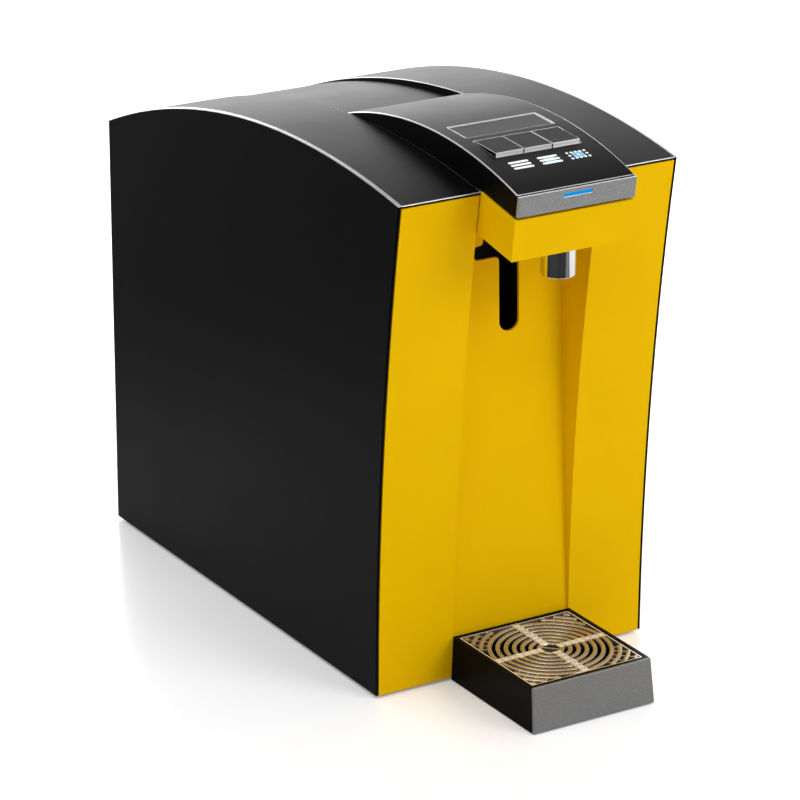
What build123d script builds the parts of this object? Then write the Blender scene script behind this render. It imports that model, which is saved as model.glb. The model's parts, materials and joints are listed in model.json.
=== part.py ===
from build123d import *
import math
import os

# A countertop water purifier and dispenser: a tall slim casing with an arched top, a coloured
# front panel that leans out, a hood with three buttons, a spout and a pull-out drip tray.
# Millimetres. X runs across, Y runs from the front to the back, Z is up.
# The origin is the centre of the footprint on the worktop.

os.makedirs("parts", exist_ok=True)

# Casing, the driving sizes
case_width = 260.0
case_depth = 450.0         # back face to front panel, measured at the worktop
case_height = 440.0        # worktop to the highest point of the arch
arch_radius = 830.0
arch_top_setback = 125.0   # how far the highest point lies behind the front, at the worktop
front_radius = 2560.0      # hollow curve of the front, which leans out towards the top
front_upright = 20.0       # height where that curve starts
tray_reach = 122.3         # front panel to the front of the tray, at the worktop
rear_reach = 14.0          # how far the ports stand out of the back

# Sheets, gaps and heights that many pieces share
side_sheet = 2.0
top_sheet = 2.0
rear_sheet = 2.0
pan_sheet = 2.0
fit_gap = 0.2              # between pieces that are screwed together
panel_gap = 0.8            # shadow gap around the front panel
seat_gap = 0.3             # between pieces that only lie against each other
overrun = 5.0              # how far a cutter runs past what it cuts
foot_height = 2.0

# The middle band, which runs through the top channel, the hood, the recess and the tray
channel_half = 55.5
recess_half = 57.0
hood_half = 54.5
housing_half = 55.5

# Hood outline, seen from the side. Drops are measured down from the highest point of the arch
hood_radius = 409.0
hood_reach = 84.0          # how far the hood reaches in front of the casing
hood_length = 255.0
hood_front_drop = 6.1
hood_face_height = 17.2    # from the upper to the lower edge of the hood's front face
hood_face_lean = 2.4       # how much further back that lower edge lies
hood_wall = 2.5
fascia_thickness = 3.0
skirt_depth = 16.0         # how deep the hood and the top flanges reach into the channel
hood_gap = 1.7             # shadow gap between the hood and the spout housing

# Front panel
panel_wall = 2.5
panel_depth = 20.0         # how far its returns reach back
recess_start = 0.8         # depth of the recess at the bottom
recess_lean = 14.0         # how much deeper the recess floor lies at the top
recess_taper = 7.5         # how much the floor narrows on each side at the top

# Places that follow from them
back_y = (case_depth + tray_reach + rear_reach) / 2 - rear_reach
front_y = back_y - case_depth
apex_y = front_y + arch_top_setback
half_width = case_width / 2
inner_half = half_width - side_sheet
hood_front_y = front_y - hood_reach
hood_rear_y = hood_front_y + hood_length
hood_front_z = case_height - hood_front_drop
hood_lip_z = hood_front_z - hood_face_height
pan_floor_z = foot_height + pan_sheet


def arch_z(y, inset=0.0):
    """Height of the arch at y, or of a surface that lies inset below it"""
    return case_height - arch_radius + math.sqrt((arch_radius - inset) ** 2 - (y - apex_y) ** 2)


def lean_y(z, inset=0.0):
    """Place of the front at height z, or of a surface that lies inset behind it"""
    rise = max(z - front_upright, 0)
    return front_y - front_radius + math.sqrt((front_radius + inset) ** 2 - rise ** 2)


corner_steps = 30          # rounds of the search for the corner


def front_corner(top_inset=0.0, front_inset=0.0):
    """Where the arch meets the leaning front, seen from the side"""
    z = case_height
    for step in range(corner_steps):
        z = arch_z(lean_y(z, front_inset), top_inset)
    return lean_y(z, front_inset), z


def side_outline(rear_y, bottom_z, top_inset=0.0, front_inset=0.0):
    """Face of the casing seen from the side: upright back, arch, leaning front and flat bottom"""
    corner_y, corner_z = front_corner(top_inset, front_inset)
    middle_y = (rear_y + corner_y) / 2
    middle_z = (front_upright + corner_z) / 2
    start_y = lean_y(front_upright, front_inset)
    with BuildLine() as outline:
        Line((rear_y, bottom_z), (rear_y, arch_z(rear_y, top_inset)))
        ThreePointArc((rear_y, arch_z(rear_y, top_inset)), (middle_y, arch_z(middle_y, top_inset)),
                      (corner_y, corner_z))
        ThreePointArc((corner_y, corner_z), (lean_y(middle_z, front_inset), middle_z),
                      (start_y, front_upright))
        Polyline((start_y, front_upright), (start_y, bottom_z), (rear_y, bottom_z))
    make_face(outline.edges())


def arch_band(rear_y, fore_y, top_inset, depth):
    """Face of a curved strip under the arch, seen from the side"""
    middle_y = (rear_y + fore_y) / 2
    low = top_inset + depth
    with BuildLine() as outline:
        ThreePointArc((rear_y, arch_z(rear_y, top_inset)), (middle_y, arch_z(middle_y, top_inset)),
                      (fore_y, arch_z(fore_y, top_inset)))
        Line((fore_y, arch_z(fore_y, top_inset)), (fore_y, arch_z(fore_y, low)))
        ThreePointArc((fore_y, arch_z(fore_y, low)), (middle_y, arch_z(middle_y, low)),
                      (rear_y, arch_z(rear_y, low)))
        Line((rear_y, arch_z(rear_y, low)), (rear_y, arch_z(rear_y, top_inset)))
    make_face(outline.edges())


def side_plane(x):
    """Plane whose axes are Y and Z, at x across the casing"""
    return Plane.YZ.offset(x)


def save(piece, name):
    """Label a finished piece and write it under its own name"""
    piece.part.label = name
    export_step(piece.part, f"parts/{name}.step")


def block(low, high, mode=Mode.ADD):
    """Box between two corners"""
    size = [b - a for a, b in zip(low, high)]
    middle = [(a + b) / 2 for a, b in zip(low, high)]
    with Locations(tuple(middle)):
        Box(*size, mode=mode)


def rod(start, direction, radius, length, mode=Mode.ADD):
    """Cylinder from a point along a direction"""
    with Locations(Plane(origin=start, z_dir=direction).location):
        Cylinder(radius, length, align=(Align.CENTER, Align.CENTER, Align.MIN), mode=mode)


towards_front = (0, -1, 0)
towards_back = (0, 1, 0)
upwards = (0, 0, 1)
downwards = (0, 0, -1)
rightwards = (1, 0, 0)

# Side panels: flat sheets with the arched top and leaning front, edges broken all round outside
side_edge_chamfer = 0.7
for name, side in (("left_side_panel", -1), ("right_side_panel", 1)):
    with BuildPart() as side_panel:
        with BuildSketch(side_plane(side * inner_half)):
            side_outline(back_y, foot_height)
        extrude(amount=side * side_sheet)
        outer_face = side_panel.faces().filter_by(Axis.X).sort_by(Axis.X)[-1 if side > 0 else 0]
        chamfer(outer_face.edges(), length=side_edge_chamfer)
    save(side_panel, name)

# Top strips: the two halves of the curved top, with flanges turned down on both long edges
flange_sheet = 2.0
flange_start_y = front_y + panel_depth + 2 * seat_gap
corner_y, corner_z = front_corner()
strip_half = inner_half - fit_gap
for name, side in (("left_top_strip", -1), ("right_top_strip", 1)):
    with BuildPart() as top_strip:
        with BuildSketch(side_plane(side * channel_half)):
            arch_band(back_y, corner_y, 0, top_sheet)
        extrude(amount=side * (strip_half - channel_half))
        for flange_x in (channel_half, strip_half - flange_sheet):
            with BuildSketch(side_plane(side * flange_x)):
                arch_band(back_y - rear_sheet - fit_gap, flange_start_y, 0, skirt_depth)
            extrude(amount=side * flange_sheet)
    save(top_strip, name)

# Centre panel: the sunk strip of the top behind the hood, level with the top at the back
centre_panel_drop = 6.0
centre_panel_middle_drop = 3.6
centre_panel_sheet = 2.0
centre_flange_depth = 9.0
centre_half = channel_half - fit_gap
centre_fore_y = hood_rear_y + seat_gap
centre_middle_y = (back_y + centre_fore_y) / 2


def centre_band(rear_y, depth):
    """Side view of the centre panel's sheet or of its flange"""
    rear_z = arch_z(rear_y)
    middle_z = arch_z(centre_middle_y) - centre_panel_middle_drop
    fore_z = arch_z(centre_fore_y) - centre_panel_drop
    with BuildLine() as outline:
        ThreePointArc((rear_y, rear_z), (centre_middle_y, middle_z), (centre_fore_y, fore_z))
        Line((centre_fore_y, fore_z), (centre_fore_y, fore_z - depth))
        ThreePointArc((centre_fore_y, fore_z - depth), (centre_middle_y, middle_z - depth),
                      (rear_y, rear_z - depth))
        Line((rear_y, rear_z - depth), (rear_y, rear_z))
    make_face(outline.edges())


with BuildPart() as centre_panel:
    with BuildSketch(side_plane(-centre_half)):
        centre_band(back_y, centre_panel_sheet)
    extrude(amount=2 * centre_half)
    for flange_x in (-centre_half, centre_half - centre_panel_sheet):
        with BuildSketch(side_plane(flange_x)):
            centre_band(back_y - rear_sheet - fit_gap, centre_flange_depth)
        extrude(amount=centre_panel_sheet)
save(centre_panel, "centre_panel")

# Frame: a shallow base pan, four posts and three cross rails
pan_height = 15.0
pan_front_y = front_y + panel_depth + seat_gap
pan_back_y = back_y - rear_sheet - fit_gap
pan_half = inner_half - fit_gap
pan_vent_width = 3.0
pan_vent_length = 60.0
pan_vent_pitch = 9.0
pan_vent_count = 10
foot_radius = 11.0
foot_stem_radius = 4.0
foot_stem_clearance = 0.1
foot_stem_length = 5.0
foot_inset = 26.0
foot_places = [(side * (pan_half - foot_inset), y)
               for side in (-1, 1) for y in (pan_front_y + foot_inset, pan_back_y - foot_inset)]
divider_x = 11.0           # left face of the upright plate between the two bays
left_bay = inner_half + divider_x
compressor_side_gap = 20.0
compressor_divider_gap = 15.0
compressor_radius = (left_bay - compressor_side_gap - compressor_divider_gap) / 2
compressor_x = compressor_radius + compressor_side_gap - inner_half
fan_depth = 25.0
condenser_depth = 24.0
tank_side_gap = 9.0
tank_divider_gap = 4.0
jacket_radius = (left_bay - tank_side_gap - tank_divider_gap) / 2
tank_setback = 150.0       # behind the front of the casing
tank_y = front_y + tank_setback
compressor_gap_share = 0.2647
compressor_span = back_y - rear_sheet - 2 * fit_gap - fan_depth - condenser_depth - tank_y - jacket_radius
compressor_rear_gap = (compressor_span - 2 * compressor_radius) * compressor_gap_share
compressor_y = tank_y + jacket_radius + compressor_span - compressor_rear_gap - compressor_radius

with BuildPart() as base_pan:
    block((-pan_half, pan_front_y, foot_height), (pan_half, pan_back_y, foot_height + pan_height))
    block((-pan_half + pan_sheet, pan_front_y + pan_sheet, pan_floor_z),
          (pan_half - pan_sheet, pan_back_y - pan_sheet, foot_height + pan_height + overrun),
          mode=Mode.SUBTRACT)
    for place in foot_places:
        rod((*place, foot_height - overrun), upwards, foot_stem_radius + foot_stem_clearance,
            pan_sheet + 2 * overrun, mode=Mode.SUBTRACT)
    with Locations((compressor_x, compressor_y, foot_height + pan_sheet / 2)):
        with GridLocations(pan_vent_pitch, 0, pan_vent_count, 1):
            Box(pan_vent_width, pan_vent_length, pan_sheet + 2 * overrun, mode=Mode.SUBTRACT)
save(base_pan, "base_pan")

with BuildPart() as feet:
    for place in foot_places:
        rod((*place, 0), upwards, foot_radius, foot_height)
        rod((*place, foot_height), upwards, foot_stem_radius, foot_stem_length)
save(feet, "feet")

post_size = 14.0
post_wall = 1.5
rail_depth = 15.0
rail_height = 14.0
rail_sheet = 2.0
rail_notch_half = 8.0      # passage for the outlet tube in the front rail
front_rail_y = pan_front_y + pan_sheet + rail_depth / 2 + fit_gap
middle_rail_y = hood_rear_y - rail_depth / 2 - overrun
rear_rail_y = pan_back_y - pan_sheet - rail_depth / 2 - fit_gap


def rail_top(y):
    """Height under the flanges and the hood skirt all along a rail"""
    ends = (y - rail_depth / 2, y + rail_depth / 2)
    return min(arch_z(end, skirt_depth) for end in ends) - fit_gap


rail_half = inner_half - fit_gap
with BuildPart() as cross_rails:
    for rail_y in (front_rail_y, middle_rail_y, rear_rail_y):
        top_z = rail_top(rail_y)
        block((-rail_half, rail_y - rail_depth / 2, top_z - rail_height),
              (rail_half, rail_y + rail_depth / 2, top_z))
        block((-rail_half - overrun, rail_y - rail_depth / 2 + rail_sheet, top_z - rail_height - overrun),
              (rail_half + overrun, rail_y + rail_depth / 2 - rail_sheet, top_z - rail_sheet),
              mode=Mode.SUBTRACT)
    top_z = rail_top(front_rail_y)
    block((-rail_notch_half, front_rail_y - rail_depth, top_z - rail_height - overrun),
          (rail_notch_half, front_rail_y + rail_depth, top_z - rail_sheet), mode=Mode.SUBTRACT)
save(cross_rails, "cross_rails")

with BuildPart() as frame_posts:
    for side in (-1, 1):
        for rail_y in (front_rail_y, rear_rail_y):
            x = side * (pan_half - pan_sheet - fit_gap - post_size / 2)
            top_z = rail_top(rail_y) - rail_height - fit_gap
            with BuildSketch(Plane.XY.offset(pan_floor_z)):
                with Locations((x, rail_y)):
                    Rectangle(post_size, post_size)
                    Rectangle(post_size - 2 * post_wall, post_size - 2 * post_wall, mode=Mode.SUBTRACT)
            extrude(amount=top_z - pan_floor_z)
save(frame_posts, "frame_posts")

# Front panel: two fields that follow the leaning front, with an upright recess between them
panel_half = inner_half - panel_gap
panel_bottom_z = foot_height + seat_gap
panel_top_inset = top_sheet + panel_gap
panel_back_y = front_y + panel_depth
recess_top_z = case_height
recess_reach = 60.0        # how far the cutter of the recess reaches in front of the panel


def recess_floor_y(z):
    """Place of the recess floor at height z"""
    return front_y + recess_start + recess_lean * z / recess_top_z


def recess_floor_half(z):
    """Half width of the recess floor at height z"""
    return recess_half - recess_start - (recess_taper - recess_start) * z / recess_top_z


def recess_section(z):
    """Plan section of the recess at height z"""
    edge_y = lean_y(z)
    floor_y = recess_floor_y(z)
    floor_half = recess_floor_half(z)
    with BuildSketch(Plane.XY.offset(z)) as section:
        with BuildLine():
            Polyline((-recess_half, front_y - recess_reach), (recess_half, front_y - recess_reach),
                     (recess_half, edge_y), (floor_half, floor_y), (-floor_half, floor_y),
                     (-recess_half, edge_y), close=True)
        make_face()
    return section.sketch


def rear_section(z):
    """Plan section of the hollow behind the recess floor"""
    near_y = recess_floor_y(z) + panel_wall
    far_y = panel_back_y + recess_lean
    half = recess_floor_half(z) - panel_wall
    with BuildSketch(Plane.XY.offset(z)) as section:
        with BuildLine():
            Polyline((-half, near_y), (half, near_y), (half, far_y), (-half, far_y), close=True)
        make_face()
    return section.sketch


with BuildPart() as recess_cutter:
    loft([recess_section(0), recess_section(recess_top_z)], ruled=True)

with BuildPart() as rear_cutter:
    loft([rear_section(0), rear_section(recess_top_z)], ruled=True)

# Spout housing, hood lip and slot places, all seen from the side
housing_top_setback = 4.2  # behind the foremost edge of the hood
housing_lip_gap = 2.5      # between the hood's lower edge and the housing's front
housing_height = 34.1
housing_top_z = hood_lip_z - housing_lip_gap
housing_bottom_setback = 8.2
housing_bottom_z = housing_top_z - housing_height
housing_bottom_slope = 0.193
housing_back_gap = 0.3
housing_back_rise = 10.0
housing_back_top_z = housing_top_z + housing_back_rise
hood_step_z = housing_back_top_z + hood_gap
housing_wall = 2.5
slot_half = 9.4            # half width of the upright slot
slot_gap = 3.1             # between the housing's lower edge and the slot
slot_height = 88.2         # down to the lowest point of its rounded end
crown_height = 13.2
arm_height = 11.8
slot_top_z = housing_bottom_z - slot_gap
slot_low_z = slot_top_z - slot_height
arm_high_z = slot_top_z - crown_height
arm_low_z = arm_high_z - arm_height
arm_half = 32.9
crown_half = 24.3
slot_corner = 3.4
pocket_wall = 2.0
pocket_margin = 3.0
pocket_depth = 38.0        # front of the casing to the outside of the pocket's back
outlet_hole_radius = 6.0
outlet_drop = 5.2          # below the top of the housing
outlet_z = housing_top_z - outlet_drop
peg_radius = 3.5
peg_x = 38.0
peg_z = 11.0
peg_clearance = 0.3
housing_screw_x = 30.0
housing_screw_drop = 9.2
housing_screw_z = housing_top_z - housing_screw_drop
screw_radius = 2.0
screw_clearance = 0.15
screw_head_radius = 3.8
screw_head_height = 2.4


def slot_outline():
    """Face of the cross-shaped slot, seen from the front"""
    with BuildSketch(Plane.XZ.offset(-front_y)) as outline:
        with Locations((0, slot_low_z + slot_half)):
            Circle(slot_half)
        with Locations((0, (slot_low_z + slot_half + slot_top_z) / 2)):
            Rectangle(2 * slot_half, slot_top_z - slot_low_z - slot_half)
        with Locations((0, (arm_low_z + arm_high_z) / 2)):
            Rectangle(2 * arm_half, arm_height)
        with Locations((0, (arm_high_z + slot_top_z) / 2)):
            Rectangle(2 * crown_half, crown_height)
        corners = outline.vertices().filter_by(lambda v: v.Y > arm_low_z - seat_gap)
        fillet(corners, slot_corner)
    return outline.sketch


with BuildPart() as front_panel:
    with BuildSketch(side_plane(-panel_half)):
        side_outline(panel_back_y, panel_bottom_z, top_inset=panel_top_inset)
    extrude(amount=2 * panel_half)
    pocket_x = recess_half + panel_wall
    for side in (-1, 1):
        with BuildSketch(side_plane(side * pocket_x)):
            side_outline(panel_back_y + overrun, panel_bottom_z + panel_wall,
                         top_inset=panel_top_inset + panel_wall, front_inset=panel_wall)
        extrude(amount=side * (panel_half - panel_wall - pocket_x), mode=Mode.SUBTRACT)
    add(recess_cutter.part, mode=Mode.SUBTRACT)
    add(rear_cutter.part, mode=Mode.SUBTRACT)
    block((-recess_half, front_y - recess_reach, hood_step_z - hood_gap),
          (recess_half, panel_back_y + overrun, case_height), mode=Mode.SUBTRACT)
    extrude(slot_outline(), amount=-panel_depth - overrun, mode=Mode.SUBTRACT)
    rod((0, front_y - overrun, outlet_z), towards_back, outlet_hole_radius, panel_depth + 2 * overrun,
        mode=Mode.SUBTRACT)
    for side in (-1, 1):
        rod((side * housing_screw_x, front_y - overrun, housing_screw_z), towards_back,
            screw_radius + screw_clearance, panel_depth + 2 * overrun, mode=Mode.SUBTRACT)
        rod((side * peg_x, front_y - overrun, peg_z), towards_back, peg_radius + fit_gap / 2,
            panel_depth + 2 * overrun, mode=Mode.SUBTRACT)
save(front_panel, "front_panel")

# Slot pocket: a dark box behind the cross-shaped slot
pocket_half = arm_half + pocket_margin + pocket_wall
pocket_low_z = slot_low_z - pocket_margin - pocket_wall
pocket_high_z = slot_top_z + pocket_margin + pocket_wall
pocket_back_y = front_y + pocket_depth

with BuildPart() as slot_pocket:
    with BuildSketch(side_plane(-pocket_half)):
        with BuildLine():
            Polyline((recess_floor_y(pocket_low_z) + panel_wall + fit_gap, pocket_low_z),
                     (pocket_back_y, pocket_low_z), (pocket_back_y, pocket_high_z),
                     (recess_floor_y(pocket_high_z) + panel_wall + fit_gap, pocket_high_z), close=True)
        make_face()
    extrude(amount=2 * pocket_half)
    block((-pocket_half + pocket_wall, front_y - overrun, pocket_low_z + pocket_wall),
          (pocket_half - pocket_wall, pocket_back_y - pocket_wall, pocket_high_z - pocket_wall),
          mode=Mode.SUBTRACT)
save(slot_pocket, "slot_pocket")

# Spout housing: an open-topped tub under the hood, whose back fits the recess
shoulder_y = lean_y(housing_bottom_z) - seat_gap
housing_back_half = recess_floor_half(recess_top_z) - seat_gap
recess_end_y = recess_floor_y(recess_top_z)
housing_bottom_y = hood_front_y + housing_bottom_setback
housing_back_low_z = housing_bottom_z + housing_bottom_slope * (front_y + recess_lean - housing_bottom_y)
spout_x = 0.0
spout_setback = 26.0       # behind the foremost edge of the hood
spout_y = hood_front_y + spout_setback
boss_radius = 18.0
boss_height = 17.9         # above the housing's lower edge
boss_top_z = housing_bottom_z + boss_height
spout_radius = 13.75
spout_length = 41.5
spout_bottom_z = boss_top_z - spout_length
spout_flange_radius = 17.0
spout_flange_height = 3.0
spout_gap = 0.4


def housing_shape(inset, rise):
    """The housing's outer form, or its hollow when inset by a wall and raised at the top"""
    front_top_y = hood_front_y + housing_top_setback
    back_gap = housing_back_gap + inset
    with BuildPart() as shape:
        with BuildSketch(Plane.XY.offset(housing_bottom_z - overrun)):
            with BuildLine():
                Polyline((-housing_half + inset, hood_front_y), (housing_half - inset, hood_front_y),
                         (housing_half - inset, shoulder_y), (housing_back_half - inset, recess_end_y),
                         (-housing_back_half + inset, recess_end_y), (-housing_half + inset, shoulder_y),
                         close=True)
            make_face()
        extrude(amount=case_height - housing_bottom_z)
        with BuildSketch(side_plane(-housing_half)):
            with BuildLine():
                Polyline((front_top_y + inset, housing_top_z + rise),
                         (housing_bottom_y + inset, housing_bottom_z + inset),
                         (recess_floor_y(housing_back_low_z) - back_gap, housing_back_low_z + inset),
                         (recess_floor_y(housing_back_top_z) - back_gap, housing_back_top_z + rise),
                         (corner_y, housing_back_top_z + rise), close=True)
            make_face()
        extrude(amount=2 * housing_half, mode=Mode.INTERSECT)
    return shape.part


with BuildPart() as spout_boss:
    add(housing_shape(0, 0))
    with Locations((spout_x, spout_y, boss_top_z)):
        Cylinder(boss_radius, case_height, align=(Align.CENTER, Align.CENTER, Align.MAX), mode=Mode.INTERSECT)

with BuildPart() as spout_housing:
    add(housing_shape(0, 0))
    add(housing_shape(housing_wall, overrun), mode=Mode.SUBTRACT)
    add(spout_boss.part)
    rod((spout_x, spout_y, spout_bottom_z), upwards, spout_radius + spout_gap, case_height - spout_bottom_z,
        mode=Mode.SUBTRACT)
    for side in (-1, 1):
        rod((side * housing_screw_x, front_y - overrun, housing_screw_z), towards_back,
            screw_radius + screw_clearance, panel_depth + 2 * overrun, mode=Mode.SUBTRACT)
    rod((0, front_y - overrun, outlet_z), towards_back, outlet_hole_radius, panel_depth + 2 * overrun,
        mode=Mode.SUBTRACT)
save(spout_housing, "spout_housing")

with BuildPart() as housing_screws:
    head_y = recess_floor_y(housing_screw_z) + panel_wall + fit_gap
    for side in (-1, 1):
        rod((side * housing_screw_x, head_y, housing_screw_z), towards_front, screw_radius,
            panel_wall + housing_wall + housing_back_gap + overrun)
        rod((side * housing_screw_x, head_y, housing_screw_z), towards_back, screw_head_radius,
            screw_head_height)
save(housing_screws, "housing_screws")

# Spout: a plated tube with a collar that rests on the housing's boss, and a dark insert at its mouth
spout_bore_radius = 4.0
spout_mouth_radius = 10.0
spout_mouth_depth = 12.0
spout_mouth_edge = 0.6
insert_setback = 1.5
insert_bore_radius = 4.0
insert_length = 8.0
elbow_radius = 7.0
elbow_height = 13.0
elbow_arm_radius = 5.0
elbow_arm_length = 14.0
tube_radius = 3.0

with BuildPart() as spout:
    rod((spout_x, spout_y, spout_bottom_z), upwards, spout_radius, boss_top_z - spout_bottom_z)
    rod((spout_x, spout_y, boss_top_z), upwards, spout_flange_radius, spout_flange_height)
    rod((spout_x, spout_y, spout_bottom_z - overrun), upwards, spout_bore_radius,
        case_height - spout_bottom_z, mode=Mode.SUBTRACT)
    rod((spout_x, spout_y, spout_bottom_z - overrun), upwards, spout_mouth_radius,
        spout_mouth_depth + overrun, mode=Mode.SUBTRACT)
    mouth_edges = spout.edges().filter_by(GeomType.CIRCLE).group_by(Axis.Z)[0]
    fillet(mouth_edges, radius=spout_mouth_edge)
save(spout, "spout")

with BuildPart() as spout_insert:
    insert_z = spout_bottom_z + insert_setback
    rod((spout_x, spout_y, insert_z), upwards, spout_mouth_radius - fit_gap / 2, insert_length)
    rod((spout_x, spout_y, insert_z - overrun), upwards, insert_bore_radius, insert_length + 2 * overrun,
        mode=Mode.SUBTRACT)
save(spout_insert, "spout_insert")

with BuildPart() as spout_elbow:
    elbow_z = boss_top_z + spout_flange_height + fit_gap
    rod((spout_x, spout_y, elbow_z), upwards, elbow_radius, elbow_height)
    rod((spout_x, spout_y, outlet_z), towards_back, elbow_arm_radius, elbow_arm_length)
    rod((spout_x, spout_y, outlet_z), towards_back, spout_bore_radius / 2, elbow_arm_length + overrun,
        mode=Mode.SUBTRACT)
    rod((spout_x, spout_y, elbow_z - overrun), upwards, spout_bore_radius / 2, outlet_z - elbow_z + overrun,
        mode=Mode.SUBTRACT)
save(spout_elbow, "spout_elbow")

# Hood: a shell over the control board that bridges the channel and overhangs the spout housing
hood_middle_y = (hood_rear_y + hood_front_y) / 2
hood_axis_setback = 134.0
hood_crown_rise = 16.3     # how far the hood's highest point lies above the casing's
hood_axis_y = hood_front_y + hood_axis_setback
hood_axis_z = case_height + hood_crown_rise - hood_radius
hood_step_y = front_y + panel_depth + 2 * seat_gap


def hood_z(y, inset=0.0):
    """Height of the hood's curved top at y"""
    return hood_axis_z + math.sqrt((hood_radius - inset) ** 2 - (y - hood_axis_y) ** 2)


def face_y(z, inset=0.0):
    """Place of the hood's sloping front face at height z, or of a surface inset behind it"""
    share = (hood_front_z - z) / (hood_front_z - hood_lip_z)
    return hood_front_y + hood_face_lean * share + inset


button_count = 3
button_pitch = 26.4
button_gap = 0.8
button_setback = 57.0      # behind the foremost edge of the hood
button_length = 31.0
button_rear_rise = 0.5     # above the hood at the button's back edge
button_front_rise = 3.2    # above the hood at its front edge
button_clearance = 0.35
button_wall = 1.5
button_bottom_rise = 3.0   # above the highest point of the casing
button_bottom_z = case_height + button_bottom_rise
button_lip = 1.3
button_lip_height = 1.4
button_travel = 1.2
button_post_radius = 2.2
board_thickness = 1.6
board_drop = 7.4
board_top_z = case_height - board_drop
board_half = 50.0
board_setback = 34.0
board_length = 62.0
switch_size = 6.0
switch_height = 3.5
plunger_radius = 1.7
plunger_height = 0.9
hood_post_radius = 3.0
hood_post_inset = 3.5
light_half = 13.4
light_drop = 3.6           # below the upper edge of the hood's front face
light_height = 2.5
light_high_z = hood_front_z - light_drop
light_low_z = light_high_z - light_height
light_clearance = 0.2
light_depth = 9.0
badge_half = 41.0
badge_length = 28.0
badge_recess = 1.2
badge_thickness = 1.0
badge_setback = 110.5
badge_y = hood_front_y + badge_setback
button_front_y = hood_front_y + button_setback
button_rear_y = button_front_y + button_length
board_front_y = hood_front_y + board_setback
board_rear_y = board_front_y + board_length
button_half = button_pitch * button_count / 2 - button_gap / 2
button_places = [(index - 1) * button_pitch for index in range(button_count)]
button_names = ("still_button", "chilled_button", "sparkling_button")
button_middle_y = (button_rear_y + button_front_y) / 2
board_posts = [(side * (board_half - hood_post_inset), y) for side in (-1, 1)
               for y in (board_rear_y - hood_post_inset, board_front_y + hood_post_inset)]


def hood_outline(inset, drop):
    """Side view of the hood, or of its hollow when inset by a wall and dropped below the edge"""
    rear_y = hood_rear_y - inset
    fore_y = face_y(hood_front_z, fascia_thickness + inset)
    lip_y = face_y(hood_lip_z, fascia_thickness + inset)
    rear_low_z = arch_z(hood_rear_y, skirt_depth) - drop
    step_low_z = arch_z(hood_step_y, skirt_depth) - drop
    skirt_middle_y = (hood_rear_y + hood_step_y) / 2
    with BuildLine() as outline:
        ThreePointArc((rear_y, hood_z(rear_y, inset)), (hood_middle_y, hood_z(hood_middle_y, inset)),
                      (fore_y, hood_z(fore_y, inset)))
        Polyline((fore_y, hood_z(fore_y, inset)), (lip_y, hood_lip_z - drop),
                 (corner_y, hood_step_z - drop), (hood_step_y - inset, hood_step_z - drop),
                 (hood_step_y - inset, step_low_z))
        ThreePointArc((hood_step_y - inset, step_low_z),
                      (skirt_middle_y, arch_z(skirt_middle_y, skirt_depth) - drop), (rear_y, rear_low_z))
        Line((rear_y, rear_low_z), (rear_y, hood_z(rear_y, inset)))
    make_face(outline.edges())


with BuildPart() as hood:
    with BuildSketch(side_plane(-hood_half)):
        hood_outline(0, 0)
    extrude(amount=2 * hood_half)
    with BuildSketch(side_plane(-hood_half + hood_wall)):
        hood_outline(hood_wall, overrun)
    extrude(amount=2 * (hood_half - hood_wall), mode=Mode.SUBTRACT)
    for place in board_posts:
        rod((*place, board_top_z + fit_gap), upwards, hood_post_radius,
            hood_z(place[1]) - board_top_z - hood_wall / 2)
    block((-button_half - button_clearance, button_front_y - button_clearance, button_bottom_z),
          (button_half + button_clearance, button_rear_y + button_clearance,
           hood_axis_z + hood_radius + overrun), mode=Mode.SUBTRACT)
    badge_plane = Plane(origin=(0, badge_y, hood_z(badge_y)), x_dir=rightwards,
                        z_dir=(0, badge_y - hood_axis_y, hood_z(badge_y) - hood_axis_z))
    with BuildSketch(badge_plane.offset(-badge_recess)):
        Rectangle(2 * badge_half, badge_length)
    extrude(amount=badge_recess + overrun, mode=Mode.SUBTRACT)
    block((-light_half - light_clearance, hood_front_y - overrun, light_low_z - light_clearance),
          (light_half + light_clearance, hood_front_y + light_depth + overrun,
           light_high_z + light_clearance), mode=Mode.SUBTRACT)
save(hood, "hood")

with BuildPart() as badge_plate:
    with BuildSketch(badge_plane.offset(-badge_recess)):
        Rectangle(2 * (badge_half - fit_gap), badge_length - 2 * fit_gap)
    extrude(amount=badge_thickness)
save(badge_plate, "badge_plate")

with BuildPart() as hood_fascia:
    with BuildSketch(side_plane(-hood_half)):
        with BuildLine():
            Polyline((face_y(hood_front_z), hood_front_z), (face_y(hood_lip_z), hood_lip_z),
                     (face_y(hood_lip_z, fascia_thickness - fit_gap), hood_lip_z),
                     (face_y(hood_front_z, fascia_thickness - fit_gap), hood_front_z), close=True)
        make_face()
    extrude(amount=2 * hood_half)
    block((-light_half - light_clearance, hood_front_y - overrun, light_low_z - light_clearance),
          (light_half + light_clearance, hood_front_y + light_depth,
           light_high_z + light_clearance), mode=Mode.SUBTRACT)
save(hood_fascia, "hood_fascia")

light_front_y = face_y(light_low_z)
light_back_y = face_y(light_low_z, fascia_thickness + hood_wall + seat_gap)
light_board_height = 8.0
with BuildPart() as status_light:
    block((-light_half, light_front_y, light_low_z), (light_half, light_back_y, light_high_z))
save(status_light, "status_light")

with BuildPart() as light_board:
    block((-light_half - overrun, light_back_y + fit_gap, light_low_z - light_board_height / 2),
          (light_half + overrun, light_back_y + fit_gap + board_thickness,
           light_low_z + light_board_height / 2))
save(light_board, "light_board")

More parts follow.
